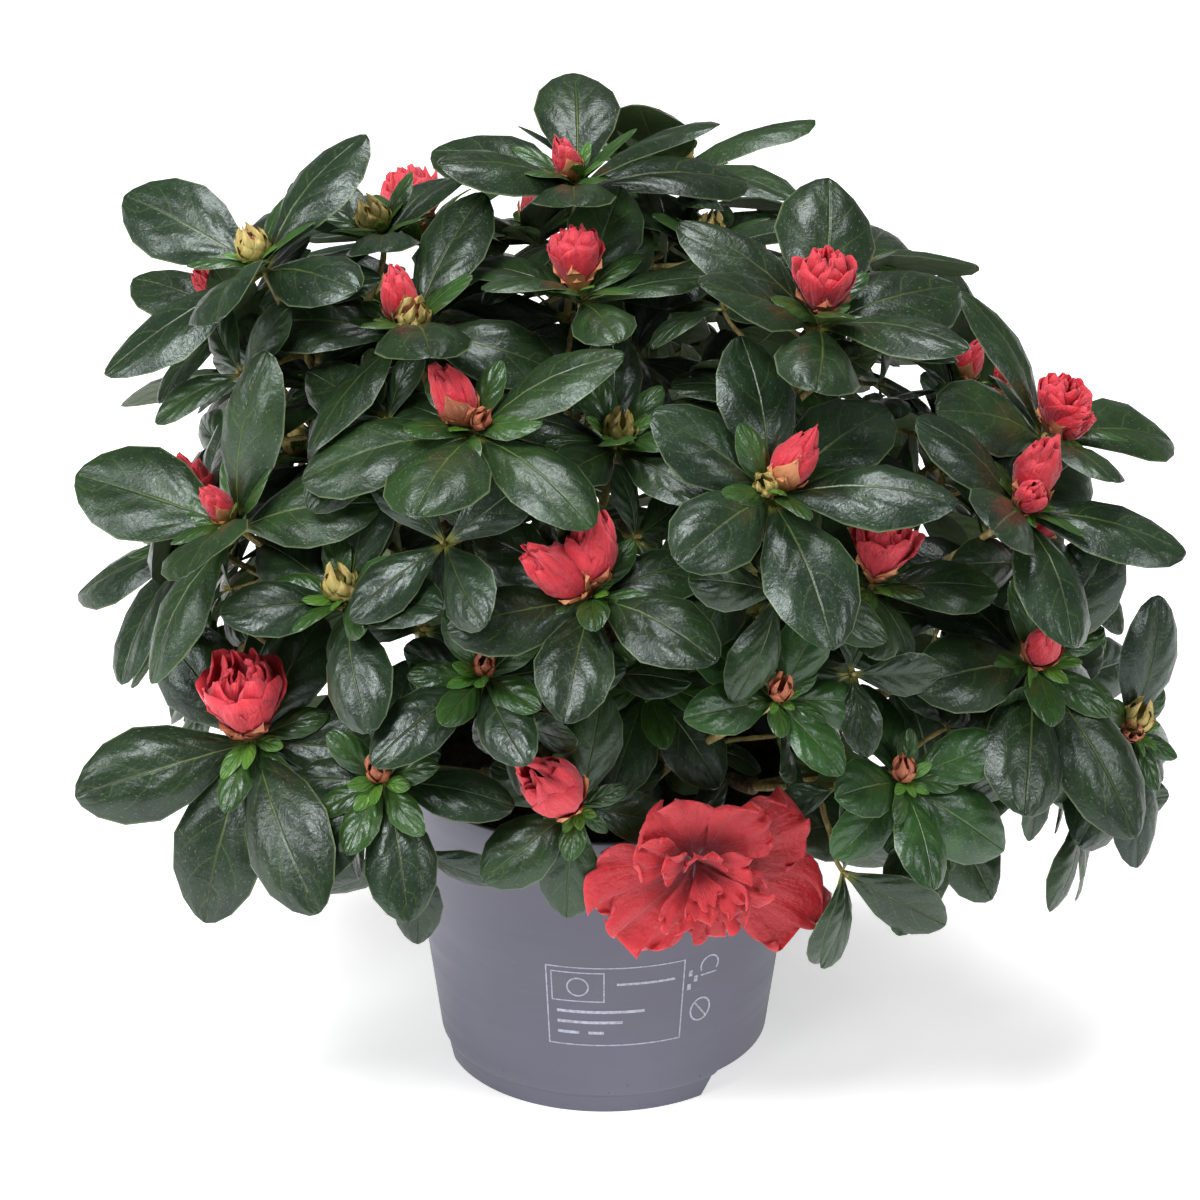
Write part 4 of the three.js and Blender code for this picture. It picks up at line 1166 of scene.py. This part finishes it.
def leafMaterial(name, look):
    paint = Surface(name)
    marks, spot = leafMarks, paint.spot()
    pattern = paint.group(bladePattern, Veins=4.6, Slant=0.36, Wander=0.5)
    mottle = paint.group(grain, Vector=spot, Broad=60.0, Fine=900.0)
    along, rib, under = pattern["Along"], pattern["Rib"], pattern["Under"]
    hairs = paint.remap(paint.streaks(paint.bladeUv(), marks["hairScale"], 2.0, 0.7), 0.64, 0.71)
    face = paint.mix(mottle["Mottle"], look["face"], look["light"])
    face = paint.mix(paint.times(pattern["Vein"], 0.22), face, marks["vein"])
    face = paint.mix(paint.times(rib, paint.remap(along, 0.1, 0.75, 0.7, 0.16)), face, marks["rib"])
    face = paint.mix(paint.times(hairs, 0.3), face, marks["hair"])
    face = paint.mix(paint.times(pattern["Rim"], 0.35), face, marks["rim"])
    face = paint.mix(paint.remap(along, 0.03, 0.15, 0.85, 0.0), face, marks["stalk"])
    back = paint.mix(rib, look["under"], marks["rib"])
    rough = paint.times(under, 0.3, paint.times(mottle["Speck"], 0.1, look["gloss"]))
    paint.set(Base_Color=paint.mix(under, face, back), Roughness=rough, Specular_Tint=marks["shine"])
    cellular = {"Vector": spot, "Scale": marks["pillow"], "Smoothness": 0.4}
    cells = paint.add("ShaderNodeTexVoronoi", cellular, feature="SMOOTH_F1").outputs["Distance"]
    height = paint.times(pattern["Puff"], 0.3, paint.times(cells, -0.16))
    height = paint.times(paint.noise(spot, marks["grain"], 2.0, 0.5), 0.2, height)
    paint.bump(paint.times(rib, -0.4, height), 0.8, marks["relief"])
    return paint.material


# deep is the colour at a petal's base: a pinker tone in the coral petals, and painted shade in the crimson
# petals and in the open bloom's throat. The lengthwise streaks are drawn in it too.
petalColours = {
    "coral": {"deep": (198, 22, 48), "face": (202, 28, 46), "edge": (224, 60, 76)},
    "crimson": {"deep": (150, 8, 30), "face": (186, 18, 38), "edge": (212, 48, 64)},
    "open": {"deep": (128, 4, 22), "face": (184, 20, 34), "edge": (216, 52, 62)},
}
petalSkin = {
    "Subsurface Weight": 0.2, "Subsurface Scale": 0.003, "Sheen Weight": 0.35,
    "Sheen Tint": (1.0, 0.62, 0.7, 1.0),
}


def petalMaterial(name, look):
    paint = Surface(name)
    along = paint.group(bladePattern)["Along"]
    streaks = paint.streaks(paint.bladeUv(), (2.5, 30, 1), 3.0, 0.6)
    crinkles = paint.noise(paint.spot(), 380.0, 3.0, 0.55)
    # Painted shade: the colour runs from deep at the petal's base to face by its middle, so where deep is
    # darker the throat is painted shaded.
    colour = paint.mix(paint.remap(along, 0.08, 0.6), look["deep"], look["face"])
    colour = paint.mix(paint.remap(streaks, 0.45, 0.75, 0.0, 0.35), colour, look["deep"])
    colour = paint.mix(paint.remap(along, 0.8, 1.0, 0.0, 0.6), colour, look["edge"])
    paint.set(Base_Color=colour, Roughness=paint.remap(streaks, 0.3, 0.7, 0.46, 0.6), **petalSkin)
    paint.bump(paint.times(streaks, 0.9, crinkles), 0.8, 0.001)
    return paint.material


scaleColours = {
    "scaleTan": {"foot": (168, 96, 50), "end": (204, 132, 88)},
    "scaleGreen": {"foot": (148, 150, 62), "end": (182, 160, 92)},
    "scaleBrown": {"foot": (140, 70, 42), "end": (170, 92, 62)},
}
scaleHair = (206, 190, 160)


def scaleMaterial(name, look):
    paint = Surface(name)
    hairs = paint.streaks(paint.bladeUv(), (4, 40, 1), 2.0, 0.6)
    along = paint.remap(paint.group(bladePattern)["Along"], 0.1, 0.9)
    colour = paint.mix(along, look["foot"], look["end"])
    colour = paint.mix(paint.remap(hairs, 0.5, 0.75, 0.0, 0.45), colour, scaleHair)
    paint.set(Base_Color=colour, Roughness=paint.remap(hairs, 0.3, 0.7, 0.5, 0.7))
    paint.bump(hairs, 0.5, 0.0003)
    return paint.material


woodColours = {
    "twigGreen": {"deep": (112, 98, 52), "face": (158, 140, 86), "pale": (194, 174, 122), "bump": 0.0003},
    "bark": {"deep": (66, 50, 34), "face": (108, 88, 60), "pale": (142, 124, 92), "bump": 0.0008},
}


def woodMaterial(name):
    look, paint = woodColours[name], Surface(name)
    spot = paint.spot()
    marks = paint.group(grain, Vector=spot, Broad=160.0, Fine=900.0)
    streak = paint.streaks(spot, (900, 900, 160), 3.0, 0.65)
    colour = paint.mix(marks["Mottle"], look["deep"], look["face"])
    colour = paint.mix(paint.remap(streak, 0.5, 0.75), colour, look["pale"])
    paint.set(Base_Color=colour, Roughness=paint.remap(streak, 0.2, 0.8, 0.6, 0.85))
    paint.bump(paint.times(marks["Speck"], 0.4, streak), 0.8, look["bump"])
    return paint.material


potColours = {
    "face": (92, 91, 107), "light": (108, 107, 123), "scuff": (150, 150, 158), "soil": (48, 38, 30),
    "print": (184, 188, 206), "worn": (148, 150, 162),
}


def potMaterial():
    paint = Surface("potPlastic")
    spot = paint.spot()
    marks = paint.group(grain, Vector=spot, Broad=14.0, Fine=1500.0)
    height = paint.add("ShaderNodeSeparateXYZ", {0: spot}).outputs["Z"]
    drawn = paint.streaks(spot, (12, 12, 160), 4.0, 0.6)  # faint level rings
    scuffs = paint.remap(paint.streaks(spot, (90, 90, 500), 3.0, 0.7), 0.66, 0.74)
    dirt = paint.remap(paint.noise(spot, 330.0, 2.0, 0.5), 0.69, 0.72)
    low = paint.remap(height, 0.004, 0.016, 1.0, 0.0)
    colour = paint.mix(paint.times(marks["Mottle"], 0.35), potColours["face"], potColours["light"])
    colour = paint.mix(paint.times(scuffs, 0.12), colour, potColours["scuff"])
    colour = paint.mix(paint.times(dirt, low), colour, potColours["soil"])
    paint.set(Base_Color=colour, Roughness=paint.remap(drawn, 0.3, 0.7, 0.42, 0.52))
    paint.bump(paint.times(marks["Speck"], 0.25, drawn), 0.25, 0.0003)
    return paint.material


def printMaterial():
    paint = Surface("potPrint")
    wear = paint.remap(paint.noise(paint.spot(), 700.0, 3.0, 0.7), 0.35, 0.6)
    paint.set(Base_Color=paint.mix(wear, potColours["worn"], potColours["print"]),
              Roughness=paint.remap(wear, 0.0, 1.0, 0.6, 0.5))
    return paint.material


peatColours = {"deep": (28, 20, 15), "face": (62, 46, 33), "fibre": (120, 92, 62)}


def peatMaterial():
    paint = Surface("peatCrumbs")
    spot = paint.spot()
    marks = paint.group(grain, Vector=spot, Broad=260.0, Fine=1400.0)
    fibre = paint.remap(paint.streaks(spot, (300, 1400, 900), 2.0, 0.6), 0.66, 0.72)
    colour = paint.mix(marks["Mottle"], peatColours["deep"], peatColours["face"])
    colour = paint.mix(paint.times(fibre, 0.6), colour, peatColours["fibre"])
    paint.set(Base_Color=colour, Roughness=paint.remap(marks["Speck"], 0.0, 1.0, 0.85, 0.97))
    paint.bump(marks["Speck"], 0.9, 0.0015)
    return paint.material


potForm = {
    "height": 109, "rimRadius": 70, "rimHeight": 11, "rimStep": 1.1, "neckRadius": 67.3, "wall": 1.6,
    "footRadius": 53.3, "footBand": 7, "footInset": 0.9, "channel": 8, "padRadius": 30,
    "notchAngle": -17, "notchArc": 72, "notchHeight": 8.5, "notchSlope": 4, "notchDepth": (36.0, 66.0),
    "drains": 4, "drainRadius": 3.4, "drainCircle": 41.5, "sides": 160, "lip": 0.75, "sharp": 32,
}
# the faces of a box whose corners are numbered round one side and then round the other
boxFaces = [(3, 2, 1, 0), (4, 5, 6, 7), (0, 1, 5, 4), (1, 2, 6, 5), (2, 3, 7, 6), (3, 0, 4, 7)]


def wallRadius(height):
    form = potForm
    foot = form["footRadius"] + form["footInset"]
    return foot + (form["neckRadius"] - foot) * height / (form["height"] - form["rimHeight"])


# A closed turned shape: a profile of (radius, height) pairs, from axis to axis, spun about Z.
def turned(profile, sides):
    profile = np.array(profile, dtype=float)
    turn = 2 * np.pi * np.arange(sides) / sides
    ring = profile[1:-1]
    points = np.stack([ring[:, :1] * np.cos(turn), ring[:, :1] * np.sin(turn), ring[:, 1:] + 0 * turn], -1)
    faces = gridFaces(len(ring), sides, wrapped=True)[:, ::-1] + 2
    first, last = list(range(2, 2 + sides)), list(range(2 + (len(ring) - 1) * sides, 2 + len(ring) * sides))
    ends = [[0, first[(i + 1) % sides], first[i]] for i in range(sides)]
    ends += [[1, last[i], last[(i + 1) % sides]] for i in range(sides)]
    poles = np.array([[0, 0, profile[0, 1]], [0, 0, profile[-1, 1]]])
    return np.concatenate([poles, points.reshape(-1, 3)]), faces.tolist() + ends


# Points of a rounded edge: an arc of radius r round a middle, from one bearing to another.
def rounded(middle, r, start, stop, steps=4):
    turn = np.radians(np.linspace(start, stop, steps))
    return [(middle[0] + r * math.cos(a), middle[1] + r * math.sin(a)) for a in turn]


def cutter(points, faces):
    mesh = newMesh("cutter", points, faces)
    mesh.validate()
    return linkNew("cutter", mesh)


# The pot's profile, from the middle of its underside round the wall to the middle of its floor.
def potProfile():
    form = potForm
    rimFoot = form["height"] - form["rimHeight"]
    wall, foot, lip, step = form["wall"], form["footRadius"], form["lip"], form["rimStep"]
    pad, channel, footBand = form["padRadius"], form["channel"], form["footBand"]
    neck, inner = wallRadius(rimFoot), foot - form["wall"]
    return [
        (0, 0), (pad - 1, 0), (pad, 0.4), (pad + 1.5, channel - 0.5), (pad + 2.2, channel),
        (inner - 1.9, channel), (inner - 1.2, channel - 0.6), (inner, 0.4), (inner + 0.4, 0),
        *rounded((foot - 0.5, 0.5), 0.5, -90, 0),
        (wallRadius(footBand) - form["footInset"], footBand - 0.3),
        (wallRadius(footBand + 0.3) - 0.35, footBand + 0.25), (wallRadius(8.2), 8.2),
        *[(wallRadius(height), height) for height in np.linspace(12, rimFoot - 1, 12)],
        (neck + 0.1, rimFoot - 0.35), (neck + step - 0.25, rimFoot - 0.1), (neck + step, rimFoot + 0.3),
        *rounded((form["rimRadius"] - lip, form["height"] - lip), lip, 0, 180, 9),
        (neck - wall + 0.6, rimFoot + 1), (wallRadius(60) - wall, 60),
        (wallRadius(channel + 2) - wall, channel + wall), (pad + 2.6, channel + wall), (pad + 1.1, wall),
        (0, wall),
    ]


# What is cut from the pot: a trapezoid bar at each end of the notch line, and the drain holes.
def potCutters():
    form = potForm
    half = form["footRadius"] * math.sin(math.radians(form["notchArc"] / 2))
    low, high, slope = -1.0, form["notchHeight"], form["notchSlope"]
    outline = [(-half, low), (half, low), (half - slope, high), (slope - half, high)]
    tools = []
    for side in (1, -1):
        way = side * heading(form["notchAngle"], 0)
        aside = np.array([-way[1], way[0], 0])
        corners = [way * far + aside * a + skyward * h for far in form["notchDepth"] for a, h in outline]
        tools.append(cutter(corners, boxFaces))
    for i in range(form["drains"]):
        spot = polar(360 * (i + 0.5) / form["drains"], form["drainCircle"], form["channel"])
        drill, faces = turned([(0, -3), (form["drainRadius"], -3), (form["drainRadius"], 3), (0, 3)], 20)
        tools.append(cutter(drill + spot, faces))
    return tools


# The pot: a turned shell with a rim band, a foot ring, two wide notches cut through the foot, and
# drain holes in the channel behind it.
def makePot(material):
    points, faces = turned(potProfile(), potForm["sides"])
    sharp = potForm["sharp"]
    pot = makeMesh("potShell", points, faces, material, ["pot"], sharpAngle=sharp)
    tools = potCutters()
    for tool in tools:
        cut = pot.modifiers.new("cut", "BOOLEAN")
        cut.operation = "DIFFERENCE"
        cut.solver = "EXACT"
        cut.object = tool
    whole = bpy.data.meshes.new_from_object(pot.evaluated_get(bpy.context.evaluated_depsgraph_get()))
    pot.modifiers.clear()
    pot.data = whole
    whole.name = "potShell"
    whole.shade_smooth()
    whole.set_sharp_from_angle(angle=math.radians(sharp))
    for tool in tools:
        bpy.data.objects.remove(tool)
    return pot


printForm = {
    "lift": 0.05, "sink": -0.1, "line": 0.42, "unrolled": 60, "step": 1.6,
    "frames": [(-108, -64.5, 28, 59), (-106.4, -90, 45.6, 57)],  # left, right, low, high
    "rules": [(-86, -67.5, 52.5, 0.9), (-105, -77, 41.4, 1.1), (-105, -84, 37.2, 1.1),
              (-105, -98, 33.0, 1.1), (-95, -90, 33.0, 1.1)],  # left, right, height, width
    "drops": [(-62.2, 53), (-60.2, 50.4), (-62.4, 47.6)],
}


# A band whose middle line runs through points (bearing in degrees, height), laid on the wall and
# lifted a hair from it. Flat, a bearing is worth its arc at the unrolled radius.
def printBand(path, width, steps=None):
    flat = np.array(path, dtype=float) * (math.radians(1) * printForm["unrolled"], 1)
    at = np.concatenate([[0], np.cumsum(np.linalg.norm(np.diff(flat, axis=0), axis=1))])
    count = steps or max(2, int(at[-1] / printForm["step"]) + 2)
    where = np.linspace(0, at[-1], count)
    line = np.stack([np.interp(where, at, flat[:, k]) for k in (0, 1)], -1)
    way = unit(np.gradient(line, axis=0))
    aside = np.stack([-way[:, 1], way[:, 0]], -1) * width / 2
    band = np.stack([line - aside, line + aside], axis=1)
    layers = []
    for rise in (printForm["lift"], printForm["sink"]):
        out = wallRadius(band[..., 1]) + rise
        turn = band[..., 0] / printForm["unrolled"]
        layers.append(np.stack([out * np.cos(turn), out * np.sin(turn), band[..., 1]], -1))
    top, under = layers
    ring = np.stack([top[:, 0], top[:, 1], under[:, 1], under[:, 0]], axis=1)
    last = 4 * count - 4
    ends = [[0, 1, 2, 3], [last + 3, last + 2, last + 1, last]]
    return ring.reshape(-1, 3), gridFaces(count, 4, wrapped=True).tolist() + ends


def printFrame(left, right, low, high):
    width = printForm["line"]
    level = [printBand([(left, height), (right, height)], width) for height in (low, high)]
    ends = (low - width / 2, high + width / 2)
    return level + [printBand([(az, ends[0]), (az, ends[1])], width) for az in (left, right)]


def printOval(az, height, wide, tall, width, count, start=0, stop=2 * math.pi):
    path = [(az + wide * math.cos(a), height + tall * math.sin(a)) for a in np.linspace(start, stop, count)]
    return printBand(path, width, count)


def makePrint(material):
    bands = [band for frame in printForm["frames"] for band in printFrame(*frame)]
    bands.append(printOval(-98.2, 51.3, 3.3, 3.5, 0.5, 33))
    for left, right, height, width in printForm["rules"]:
        bands.append(printBand([(left, height), (right, height)], width))
    for az, height in printForm["drops"]:
        bands.append(printBand([(az, height - 1.1), (az, height + 0.4), (az, height + 1.2)], 1.3, 3))
    bands.append(printOval(-57.5, 37.5, 3.6, 4.4, 0.6, 41))
    bands.append(printBand([(-59.8, 40.6), (-55.2, 34.4)], 0.6))
    bands.append(printOval(-55.4, 54.5, 3.2, 3.6, 0.55, 30, -0.6, 3.6))
    bands.append(printBand([(-58.4, 51.2), (-52.6, 51.2)], 0.55))
    points, faces = joined(bands)
    return makeMesh("potPrint", points, faces, material)


peatForm = {
    "sides": 96, "rings": 34, "clear": 0.5, "level": 97.4, "bottom": 88.0, "hollow": 0.8,
    "waves": 28, "pace": (0.12, 1.1), "rough": 0.113, "dip": 1.2, "dipWidth": 5,
    "crumbs": 900, "crumbLevel": 97.6, "crumbLift": 0.5, "sizes": (0.5, 1.9), "stretch": (0.6, 1.2),
    "dents": (0.8, 1.2), "margin": 2.5,
}


# The peat: a disc whose height is the sum of seeded sine waves, less a dip along the wall, closed
# down the inside of the wall.
def makePeat(material):
    form = peatForm
    chance = np.random.default_rng(77)
    sides, rings = form["sides"], form["rings"]
    inside = wallRadius(stemForm["soilLevel"]) - potForm["wall"] - form["clear"]
    turn = 2 * np.pi * np.arange(sides) / sides
    out = np.linspace(form["hollow"], inside, rings)[:, None] + 0 * turn
    x, y = out * np.cos(turn), out * np.sin(turn)
    rough = np.zeros_like(x)
    for _ in range(form["waves"]):
        way = chance.uniform(0, 2 * np.pi)
        wave = chance.uniform(*form["pace"])
        along = x * np.cos(way) + y * np.sin(way)
        rough += form["rough"] / wave**0.4 * np.sin(wave * along + chance.uniform(0, 6.3))
    dip = form["dip"] * np.exp(-(((out - inside) / form["dipWidth"]) ** 2))
    surface = np.stack([x, y, form["level"] + rough - dip], -1)
    wall = np.stack([x[-1] * 0.998, y[-1] * 0.998, np.full(sides, form["bottom"])], -1)[None]
    poles = [[0, 0, surface[0, :, 2].mean()], [0, 0, form["bottom"]]]
    points = np.concatenate([np.concatenate([surface, wall]).reshape(-1, 3), poles])
    faces = gridFaces(rings + 1, sides, wrapped=True).tolist()
    top, bottom, last = len(points) - 2, len(points) - 1, rings * sides
    faces += [[top, i, (i + 1) % sides] for i in range(sides)]
    faces += [[bottom, last + (i + 1) % sides, last + i] for i in range(sides)]
    makeMesh("peatBed", points, faces, material, ["peat"])
    return makeCrumbs(material, inside, chance)


# Crumbs: eight-cornered lumps, each turned, stretched and dented its own way, half sunk in the surface.
def makeCrumbs(material, inside, chance):
    form = peatForm
    count = form["crumbs"]
    lump = np.array([(a, b, c) for c in (-1, 1) for a, b in ((-1, -1), (1, -1), (1, 1), (-1, 1))])
    far = np.sqrt(chance.uniform(0.03, 1, count)) * (inside - form["margin"])
    bearing = chance.uniform(0, 2 * np.pi, count)
    level = form["crumbLevel"] + chance.normal(0, form["crumbLift"], count)
    middle = np.stack([far * np.cos(bearing), far * np.sin(bearing), level], -1)
    spin = np.linalg.qr(chance.normal(0, 1, (count, 3, 3)))[0]
    spin = spin * np.sign(np.linalg.det(spin))[:, None, None]
    size = chance.uniform(*form["sizes"], (count, 1, 1)) * chance.uniform(*form["stretch"], (count, 1, 3))
    dents = chance.uniform(*form["dents"], (count, 8, 1))
    corners = np.einsum("nij,nkj->nki", spin, lump[None] / math.sqrt(3) * size * dents)
    faces = (np.array(boxFaces)[None] + 8 * np.arange(count)[:, None, None]).reshape(-1, 4).tolist()
    points = (corners + middle[:, None]).reshape(-1, 3)
    return makeMesh("peatCrumbs", points, faces, material, sharpAngle=80)


def makeBlades(name, grids, form, material, nodes=()):
    points, faces, uv = closeBlades(np.array(grids), form)
    return makeMesh(name, points, faces, material, nodes, uv, sharpAngle=100)


def pieceName(group, shade):
    return group + shade[0].upper() + shade[1:]


# The leaves in one piece for each of their colours. An old leaf's colour goes by its spray.
def dressLeaves(leaves):
    shades = ("oldDeep", "oldMid", "oldCool")
    shared = {shade: [] for shade in leafColours}
    for one in leaves:
        old = one["age"] == "old"
        shared[shades[one["spray"] * 7 % len(shades)] if old else one["age"]].append(one)
    names = [pieceName("leaves", shade) for shade in shared]
    grids = np.concatenate([leafGrids(*lot) for lot in zip(shared.values(), leafForm["seeds"])])
    grids = keepApart(grids, np.array([one["spray"] for some in shared.values() for one in some]))
    foliage = ["foliage_" + row["name"] for row in masses]
    start = 0
    for name, some, look in zip(names, shared.values(), leafColours.values()):
        part = grids[start:start + len(some)]
        makeBlades(name, part, leafForm, leafMaterial(name, look), () if start else foliage)
        start += len(some)


# The petals and the bud scales, each in one piece for each of their colours.
def dressBlooms(blooms):
    petals = {shade: [] for shade in petalColours}
    scales = {shade: [] for shade in scaleColours}
    for i, bloom in enumerate(blooms):
        chance = np.random.default_rng(300 + i)
        kind, size = bloom["kind"], bloom["size"]
        if kind in bloomForms:
            shade = "open" if kind == "open" else "coral" if i % 3 else "crimson"
            form = frilledForm if kind == "open" else petalForm
            petals[shade] += petalGrids(bloomForms[kind]["rings"], form, bloom, size, chance)
        shade = {"green": "scaleGreen", "slim": "scaleBrown"}.get(kind, ("scaleTan", "scaleBrown")[i % 2])
        scales[shade] += petalGrids(scaleRings(kind), scaleForm, bloom, size, chance, pointed=True)
    for shade, grids in petals.items():
        name = pieceName("petals", shade)
        form = frilledForm if shade == "open" else petalForm
        makeBlades(name, grids, form, petalMaterial(name, petalColours[shade]))
    for shade, grids in scales.items():
        name = pieceName("bud", shade)
        makeBlades(name, grids, scaleForm, scaleMaterial(name, scaleColours[shade]))


def dressCrown():
    shoots = growShoots()
    fineShoots = growSpurs(shoots)
    blooms = [bloom for i, shoot in enumerate(shoots) for bloom in bloomsOf(shoot, i)]
    leaves = growCrown(shoots, fineShoots, [bloomEgg(bloom) for bloom in blooms])
    sprays = [one["spray"] for one in leaves]
    fineShoots = [s for i, s in enumerate(fineShoots) if sprays.count(len(shoots) + i) > 1]
    print("shoots", len(shoots), "spurs", len(fineShoots), "leaves", len(leaves), "blooms", len(blooms))
    dressLeaves(leaves)
    dressBlooms(blooms)
    wood = woodMaterial("twigGreen")
    makeTwigs(shoots, "twigsMain", wood, 5)
    makeTwigs(fineShoots, "twigsFine", wood, 6)


makePot(potMaterial())
makePrint(printMaterial())
makePeat(peatMaterial())
makeBark(woodMaterial("bark"))
dressCrown()


studio = {
    "floorColours": ((244, 244, 244), (248, 248, 248)), "floorHalf": 6000, "floorGlow": 0.5,
    "sky": 0.14, "aim": (0, 0, 180),
    "lamps": {  # place, size and watts
        "keyLamp": ((-700, -1000, 1800), 800, 36),
        "leftLamp": ((-1700, -500, 1000), 700, 16),
        "fillLamp": ((1400, -900, 1200), 700, 12),
        "topLamp": ((100, 500, 1900), 800, 22),
    },
}


def makeFloor():
    half = studio["floorHalf"]
    corners = [(-half, -half, 0), (half, -half, 0), (half, half, 0), (-half, half, 0)]
    mesh = newMesh("studioFloor", corners, [(0, 1, 2, 3)])
    floor = linkNew("studioFloor", mesh)
    paint = Surface("studioFloor")
    faint = paint.noise(paint.spot(), 3.0, 2.0)
    paint.set(Base_Color=paint.mix(faint, *studio["floorColours"]), Roughness=0.8,
              Emission_Color=(1, 1, 1, 1), Emission_Strength=studio["floorGlow"])
    mesh.materials.append(paint.material)


def makeStudio():
    world = bpy.data.worlds.new("studioSky")
    world.use_nodes = True
    world.node_tree.nodes["Background"].inputs["Color"].default_value = (1, 1, 1, 1)
    world.node_tree.nodes["Background"].inputs["Strength"].default_value = studio["sky"]
    bpy.context.scene.world = world
    for name, (place, size, watts) in studio["lamps"].items():
        data = bpy.data.lights.new(name, "AREA")
        data.shape = "DISK"
        data.size = size * metresPerMm
        data.energy = watts
        lamp = linkNew(name, data)
        lamp.location = Vector(place) * metresPerMm
        lamp.rotation_euler = (Vector(studio["aim"]) - Vector(place)).to_track_quat("-Z", "Y").to_euler()
    bpy.context.scene.view_settings.view_transform = "Standard"


makeFloor()
makeStudio()
